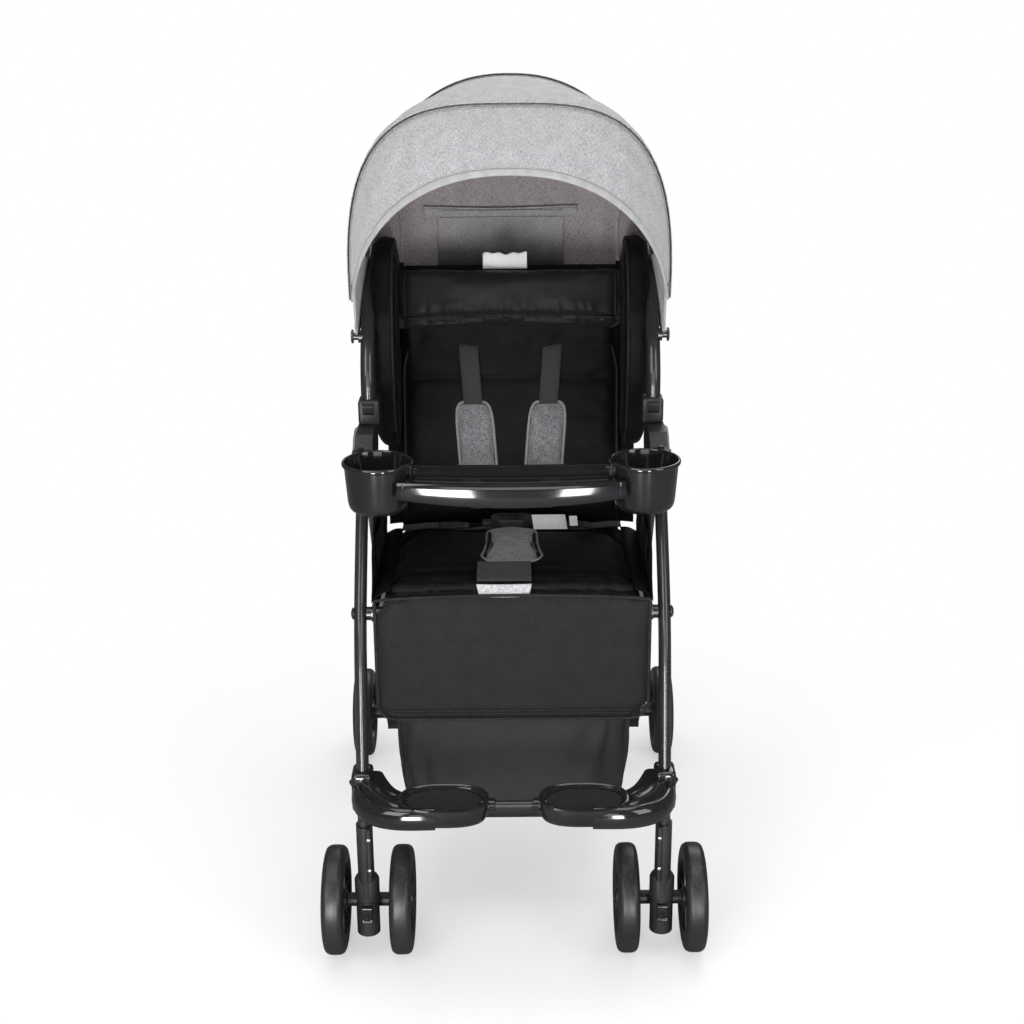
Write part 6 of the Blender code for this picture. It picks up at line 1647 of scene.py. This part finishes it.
def wheel(node, centre, width):
    """A smooth tyre with round shoulders, and a dished hub with ribs on both faces."""
    half = width / 2
    shoulder = smooth_line(
        [(half - 0.0015, 0.0512, 0), (half, 0.0535, 0), (half + 0.0001, 0.0600, 0), (half - 0.0018, 0.0668, 0),
         (half - 0.0060, 0.0699, 0), (half - 0.0090, 0.0704, 0)], 4
    )
    face = [(p.x, p.y) for p in shoulder] + [(0.0032, 0.0706)]
    tyre = spun(face + [(-along, radius) for along, radius in reversed(face)], centre, steps=80)
    piece(f"{node}_tyre", tyre, TREAD, node, [node], sharp=32)
    dish = [
        (half + 0.0005, 0.0047), (half + 0.0005, 0.0105), (half - 0.0004, 0.0122), (half - 0.0040, 0.0135),
        (0.0066, 0.0165), (0.0055, 0.0185), (0.0055, 0.0440), (0.0070, 0.0470), (half - 0.0030, 0.0488),
        (half - 0.0012, 0.0500), (half - 0.0006, 0.0512), (half - 0.0014, 0.0524), (half - 0.0040, 0.0528)
    ]
    hub = spun(dish + [(-along, radius) for along, radius in reversed(dish)], centre, steps=64)
    for k in range(6):
        rib = cushioned_box((-half + 0.0035, -0.0022, 0.0125), (half - 0.0035, 0.0022, 0.0485), 0.0007, 2)
        turn = Matrix.Rotation(math.radians(60 * k + 30), 4, "X")
        bmesh.ops.transform(rib, matrix=Matrix.Translation(centre) @ turn, verts=rib.verts)
        add_to(hub, rib)
    piece(f"{node}_hub", hub, HUB, node, sharp=32)


def running_gear():
    """All six wheels, and the casters, brackets and brakes with their edges eased."""
    for label, sign in SIDES:
        for spot, away in (("outer", 1), ("inner", -1)):
            hub_place = Vector((sign * (LEG_X + away * 0.0435), AXLE_MIDDLE[1], AXLE_MIDDLE[2]))
            wheel(f"front_wheel_{label}_{spot}", hub_place, 0.028)
        rear_place = Vector((sign * 0.241, REAR_AXLE_MIDDLE[1], REAR_AXLE_MIDDLE[2]))
        wheel(f"rear_wheel_{label}", rear_place, 0.030)
        eased(f"caster_fork_{label}", MOULDED, 0.0007)
        eased(f"swivel_lock_{label}", GLOSS, 0.0005)
        grips = bmesh.new()
        for k in range(3):
            low = at(LEG_X - 0.0045, -0.0436, 0.0645 + 0.0028 * k)
            high = at(LEG_X + 0.0045, -0.0424, 0.0655 + 0.0028 * k)
            add_to(grips, cushioned_box(low, high, 0.0004, 1))
        piece(f"swivel_lock_{label}_ribs", mirrored(grips, sign), GLOSS, f"swivel_lock_{label}")
        eased(f"rear_bracket_{label}", MOULDED, 0.0008)
        eased(f"brake_pedal_{label}", MOULDED, 0.0007)
        tread = bmesh.new()
        for k in range(5):
            low = at(0.1560, 0.562 + 0.0065 * k, 0.1060 - 0.0004 * k)
            high = at(0.1724, 0.5645 + 0.0065 * k, 0.1076 - 0.0004 * k)
            add_to(tread, cushioned_box(low, high, 0.0005, 1))
        piece(f"brake_pedal_{label}_ribs", mirrored(tread, sign), MOULDED, f"brake_{label}")
    eased("rear_axle", ZINC, 0.0004)
    eased("rear_frame", BLACK_PAINT, 0.0014, angle=24)


# Tubes

LEG_LINE = ((-0.028, 0.100), (-0.028, 0.221), (-0.001, 0.358), (0.034, 0.462), (0.104, 0.566), (0.137, 0.603),
            (0.178, 0.618))
HANDLE_LINE = ((0.222, 0.632), (0.222, 0.703), (0.232, 0.738), (0.250, 0.765), (0.290, 0.802), (0.380, 0.870))
TUBE = 0.0095


def oval_tube(path, width, depth, x):
    """A flat oval tube along a line in the side plane: a round tube, narrowed sideways."""
    mesh = curve_mesh([Vector((0, *at(0, *p)[1:])) for p in path], depth / 2, 32, smooth=False)
    narrow = Matrix.Diagonal((width / depth, 1, 1, 1))
    bmesh.ops.transform(mesh, matrix=Matrix.Translation((x, 0, 0)) @ narrow, verts=mesh.verts)
    return mesh


def rivet(place, axis, radius, height):
    """A round rivet head that stands on a face."""
    profile = [(0.0, 0.0), (0.0, radius), (height * 0.35, radius * 0.96), (height * 0.8, radius * 0.62), (height, 0.0)]
    return spun(profile, place, axis, 20)


def front_legs():
    """The front legs with their sockets and rivets."""
    line = smooth_line([(0, y, z) for y, z in LEG_LINE], 6)
    flat = [(p.y, p.z) for p in line]
    for label, sign in SIDES:
        leg = mirrored(oval_tube(flat, 0.016, 0.022, LEG_X), sign)
        piece(f"front_leg_{label}_tube", leg, BLACK_PAINT, "frame", [f"front_leg_{label}"])
        sleeve_line = [(-0.028, 0.094)] + [p for p in flat if 0.100 < p[1] < 0.215]
        sleeve = oval_tube(sleeve_line, 0.0212, 0.0272, LEG_X)
        barrel = [(0.0006, 0.0), (0.0006, 0.0150), (0.0016, 0.0160), (0.0290, 0.0160), (0.0330, 0.0140),
                  (0.0345, 0.0110), (0.0345, 0.0)]
        add_to(sleeve, spun(barrel, at(LEG_X, -0.025, 0.088), (0, 0, 1), 40))
        add_to(sleeve, spun([(-0.025, 0.0), (-0.025, 0.0045), (0.002, 0.0045), (0.002, 0.0)],
                            at(LEG_X, -0.025, 0.088), (0, 0, 1), 24))
        strip = [(-0.0425, 0.122), (-0.0425, 0.200)]
        rail = curve_mesh([at(LEG_X - 0.0058, *p) for p in strip], 0.0032, 16, smooth=False)
        add_to(sleeve, rail)
        piece(f"caster_socket_{label}_sleeve", mirrored(sleeve, sign), MOULDED, "frame",
              [f"caster_socket_{label}"])
        heads = bmesh.new()
        for height in (0.140, 0.184):
            add_to(heads, rivet(at(LEG_X - 0.0058, -0.0448, height), (0, -1, 0), 0.0030, 0.0016))
        piece(f"leg_rivets_{label}", mirrored(heads, sign), ZINC, "frame")


def handle():
    """The handle tube with its foam grip and end rings."""
    side = smooth_line([(0.187, y, z) for y, z in HANDLE_LINE], 6)
    top, foot = Vector((0.187, 0.500, 0.960)), Vector((0.187, 0.380, 0.870))
    rise = (top - foot).normalized()
    corner = top - rise * 0.060 - Vector((0.060, 0, 0))
    turn = [corner + 0.060 * (Vector((math.cos(t), 0, 0)) + math.sin(t) * rise)
            for t in (math.pi / 2 * i / 14 for i in range(15))]
    half = side + turn
    whole = half + [Vector((-p.x, p.y, p.z)) for p in reversed(half)]
    tube = curve_mesh([at(*p) for p in whole], TUBE, 32, smooth=False)
    for _, sign in SIDES:
        stub = [(0.0, 0.0), (0.0, 0.0085), (0.0122, 0.0085), (0.0125, 0.0082), (0.0125, 0.0048), (0.0190, 0.0048),
                (0.0190, 0.0088), (0.0195, 0.0092), (0.0213, 0.0090), (0.0220, 0.0070), (0.0220, 0.0)]
        add_to(tube, spun(stub, at(sign * 0.187, 0.250, 0.765), (sign, 0, 0), 36))
    piece("handle_tube_bent", tube, BLACK_PAINT, "frame", ["handle_tube"])
    end = 0.105
    grip = smooth_line([(-end, 0.0097, 0), (-end, 0.0130, 0), (-end + 0.0012, 0.0143, 0), (-end + 0.004, 0.0146, 0)], 3)
    profile = [(p.x, p.y) for p in grip]
    profile += [(-along, radius) for along, radius in reversed(profile)]
    piece("handle_grip_foam", spun(profile, at(0, 0.500, 0.960), steps=48), FOAM, "frame", ["handle_grip"])
    plug_ends = bmesh.new()
    for _, sign in SIDES:
        ring = [(0.0, 0.0096), (0.0, 0.0125), (0.0010, 0.0135), (0.0040, 0.0135), (0.0050, 0.0115), (0.0050, 0.0096)]
        add_to(plug_ends, spun(ring, at(sign * end, 0.500, 0.960), (sign, 0, 0), 40))
    piece("grip_end_rings", plug_ends, GLOSS, "frame")


def seat_tubes():
    """The seat tubes, the hinge housings with their covers, the latches and the screws."""
    inside, outside = 0.1818, 0.1982
    half = [(inside, 0.0085), (inside, 0.0040), (outside, 0.0040), (outside, 0.0076), (outside + 0.0006, 0.0078),
            (outside + 0.0020, 0.0066), (outside + 0.0032, 0.0036), (outside + 0.0035, 0.0)]
    profile = [(-x, r) for x, r in reversed(half)] + half
    tube = spun(profile, at(0, 0.034, 0.462), steps=40)
    piece("seat_cross_tube_turned", tube, BLACK_PAINT, "frame", ["seat_cross_tube"])
    eased("seat_frame", BLACK_PAINT, 0.0010, angle=24)
    eased("seat_board", BOARD, 0.0008)
    for label, _ in SIDES:
        eased(f"hinge_housing_{label}", MOULDED, 0.0012, 3)
        eased(f"hinge_cover_{label}", SILVER, 0.0010, 3)
        eased(f"fold_latch_{label}", MOULDED, 0.0007)
        screws = bmesh.new()
        sign = 1 if label == "left" else -1
        for y, z in ((0.150, 0.618), (0.236, 0.640)):
            head = spun([(0.0, 0.0), (0.0, 0.0030), (0.0006, 0.0030), (0.0012, 0.0022), (0.0012, 0.0010),
                         (0.0004, 0.0008), (0.0004, 0.0)], at(0.2008, y, z), (1, 0, 0), 20)
            add_to(screws, head)
        piece(f"housing_screws_{label}", mirrored(screws, sign), ZINC, "frame")


# Child tray and footrests

TRAY_CUT = (
    (0.0040, -0.0345), (0.0020, -0.0335), (0.0006, -0.0300), (0.0, -0.0210), (0.0001, -0.0130), (0.0008, -0.0080),
    (0.0024, -0.0058), (0.0050, -0.0052), (0.0080, -0.0058), (0.0120, -0.0066), (0.0300, -0.0070),
    (0.0420, -0.0074), (0.0448, -0.0086), (0.0462, -0.0120), (0.0500, -0.0128), (0.0555, -0.0126),
    (0.0575, -0.0090), (0.0590, -0.0030), (0.0606, -0.0006), (0.0635, 0.0), (0.0668, -0.0004), (0.0692, -0.0018),
    (0.0700, -0.0050), (0.0700, -0.0200), (0.0672, -0.0200), (0.0668, -0.0100), (0.0610, -0.0150),
    (0.0440, -0.0155), (0.0405, -0.0105), (0.0130, -0.0100), (0.0060, -0.0100), (0.0036, -0.0160), (0.0052, -0.0345)
)
CUP_SPOT = (0.165, 0.068)


def tray_trough():
    """The cross-section drawn out from cup to cup, then bowed forward and hollowed at the ends."""
    end, steps = 0.139, 48
    mesh = bmesh.new()
    verts = [mesh.verts.new(at(-end, 0.018 + y, 0.640 + z)) for y, z in TRAY_CUT]
    edges = [mesh.edges.new(pair) for pair in zip(verts, verts[1:] + verts[:1])]
    bmesh.ops.spin(
        mesh, geom=verts + edges, cent=(0, 0, 0), axis=(1, 0, 0), angle=0, dvec=(2 * end / steps, 0, 0), steps=steps
    )
    rims = [e for e in mesh.edges if len(e.link_faces) == 1]
    bmesh.ops.holes_fill(mesh, edges=rims, sides=0)
    front, top = at(0, 0.018, 0)[1], 0.640
    for vert in mesh.verts:
        share = (vert.co.x / 0.133) ** 2
        back = (vert.co.y - front) / 0.070
        deep = min(1.0, max(0.0, (top - 0.010 - vert.co.z) / 0.020)) * (1 - back)
        vert.co.y += share * (0.010 * (1 - back) + 0.004 * back)
        vert.co.z += 0.006 * share * deep - 0.0015 * (1 - share) * deep
    return tidy(mesh)


def cup(x):
    """A tapered cup with a rolled rim and a rounded foot."""
    foot = smooth_line([(0, 0.0270, 0), (0.0014, 0.0325, 0), (0.0060, 0.0364, 0), (0.0140, 0.0381, 0)], 4)
    rim = smooth_line(
        [(0.0575, 0.0412, 0), (0.0588, 0.0436, 0), (0.0612, 0.0441, 0), (0.0634, 0.0434, 0), (0.0640, 0.0418, 0),
         (0.0632, 0.0404, 0), (0.0600, 0.0396, 0)], 3
    )
    inside = smooth_line([(0.0120, 0.0312, 0), (0.0060, 0.0295, 0), (0.0038, 0.0260, 0), (0.0034, 0.0200, 0)], 4)
    outline = [(0.0, 0.0)] + [(p.x, p.y) for p in foot] + [(p.x, p.y) for p in rim]
    outline += [(p.x, p.y) for p in inside] + [(0.0034, 0.0)]
    return spun(outline, at(x, CUP_SPOT[1], 0.588), (0, 0, 1), 96)


def ear(sign):
    """The arm behind a cup: the left one has an eye round the lug's pin, and the right one is a fork."""
    low, high = 0.6364, 0.6452
    x = sign * LEG_X
    mesh = cushioned_box(at(x - 0.0120, 0.1065, low), at(x + 0.0105, 0.1205, high), 0.0025, 3)
    if sign > 0:
        eye = [(0.0, 0.0047), (0.0, 0.0118), (0.0012, 0.0128), (0.0076, 0.0128), (0.0088, 0.0118), (0.0088, 0.0047)]
        add_to(mesh, spun(eye, at(x, 0.125, low), (0, 0, 1), 40))
    else:
        add_to(mesh, cushioned_box(at(x - 0.0120, 0.112, low), at(x - 0.0048, 0.137, high), 0.0020, 3))
        add_to(mesh, cushioned_box(at(x + 0.0048, 0.112, low), at(x + 0.0105, 0.137, high), 0.0020, 3))
    return mesh


def tray():
    """The child tray with its cups and ears."""
    mesh = tray_trough()
    for _, sign in SIDES:
        add_to(mesh, cup(sign * CUP_SPOT[0]))
        add_to(mesh, ear(sign))
    piece("tray_moulding", mesh, GLOSS, "tray", ["tray"], sharp=34)
    seams = bmesh.new()
    for _, sign in SIDES:
        seam = [(0.1325, 0.0288, 0.6175), (0.1325, 0.0272, 0.6220), (0.1325, 0.0270, 0.6290), (0.1325, 0.0290, 0.6335)]
        line = [at(sign * x, y, z) for x, y, z in seam]
        add_to(seams, curve_mesh(line, 0.0010, 12))
    piece("tray_seams", seams, SEAM_SHINE, "tray")


def foot_outline(inset):
    """The foot pad's outline, drawn in by an inset."""
    found = []
    for i in range(88):
        turn = 2 * math.pi * i / 88
        across, along = math.cos(turn), math.sin(turn)
        x = 0.086 + (0.056 - inset) * math.copysign(abs(across) ** 0.75, across)
        y = -0.080 + (0.036 - inset) * math.copysign(abs(along) ** 0.8, along)
        found.append((x, y))
    return found


def foot_pad():
    """Loops of the pad's outline, bridged: a rounded deep rim outside and a dished floor inside."""
    rings = (
        (0.2385, 0.0120), (0.2388, 0.0085), (0.2410, 0.0045), (0.2455, 0.0018), (0.2540, 0.0004), (0.2600, 0.0),
        (0.2640, 0.0004), (0.2656, 0.0018), (0.2660, 0.0034), (0.2652, 0.0052), (0.2632, 0.0066), (0.2614, 0.0084),
        (0.2608, 0.0120)
    )
    mesh = bmesh.new()
    caps = []
    previous = None
    for height, inset in rings:
        made = bmesh.ops.create_circle(mesh, segments=88, radius=1)["verts"]
        for vert, (x, y) in zip(made, foot_outline(inset)):
            vert.co = at(x, y, height)
        loop = list({e for v in made for e in v.link_edges})
        if previous:
            bmesh.ops.bridge_loops(mesh, edges=previous + loop)
        else:
            caps.append(made)
        previous = loop
    caps.append(made)
    for cap in caps:
        bmesh.ops.contextual_create(mesh, geom=list({e for v in cap for e in v.link_edges if len(e.link_faces) < 2}))
    return tidy(mesh, 1e-6)


def diamonds():
    """The raised grip pattern on the pad's floor, clear of the rim."""
    mesh = bmesh.new()
    for row in range(-9, 10):
        for column in range(-16, 17):
            x, y = 0.0036 * (column + 0.5 * (row % 2)), 0.0031 * row
            if (abs(x) / 0.046) ** 2.3 + (abs(y) / 0.0262) ** 2.3 > 1:
                continue
            stud = bmesh.new()
            bmesh.ops.create_cone(stud, cap_ends=False, segments=4, radius1=0.0021, radius2=0.0008, depth=0.0010)
            bmesh.ops.transform(stud, matrix=Matrix.Translation(at(0.086 + x, -0.080 + y, 0.2612)), verts=stud.verts)
            bmesh.ops.holes_fill(stud, edges=stud.edges[:], sides=4)
            add_to(mesh, stud)
    return mesh


def footrest():
    """The two foot pads with their arms, clamps and studs, and the bar between them."""
    arm = [(0.1925, -0.022, 0.2480), (0.1935, -0.046, 0.2478), (0.1885, -0.070, 0.2480), (0.1750, -0.090, 0.2485),
           (0.1500, -0.1025, 0.2495), (0.1220, -0.1065, 0.2505), (0.0960, -0.1060, 0.2510)]
    web = [(0.1860, -0.020, 0.2600), (0.1760, -0.040, 0.2545), (0.1600, -0.060, 0.2515), (0.1360, -0.074, 0.2510),
           (0.1150, -0.080, 0.2480)]
    for label, sign in SIDES:
        mesh = foot_pad()
        add_to(mesh, curve_mesh([at(*p) for p in arm], 0, outline=oval(0.0200, 0.0300, 32)))
        add_to(mesh, curve_mesh([at(*p) for p in web], 0, outline=oval(0.0460, 0.0200, 40)))
        clamp = cushioned_box(at(LEG_X - 0.013, -0.042, 0.222), at(LEG_X + 0.013, -0.006, 0.275), 0.0055, 4)
        add_to(mesh, clamp)
        boss = [(-0.007, 0.0), (-0.007, 0.0082), (-0.006, 0.009), (0.010, 0.009), (0.010, 0.0)]
        add_to(mesh, spun(boss, at(0.030, -0.080, 0.254), (1, 0, 0), 32))
        piece(f"footrest_{label}_moulding", mirrored(mesh, sign), GLOSS, "frame",
              [f"footrest_{label}"], sharp=34)
        piece(f"footrest_{label}_studs", mirrored(diamonds(), sign), MOULDED, "frame", sharp=None)
    across = bar(at(-0.0315, -0.080, 0.254), at(0.0315, -0.080, 0.254), 0.006, 32)
    piece("footrest_bar_tube", across, BLACK_PAINT, "frame", ["footrest_bar"])


running_gear()
front_legs()
handle()
seat_tubes()
tray()
footrest()
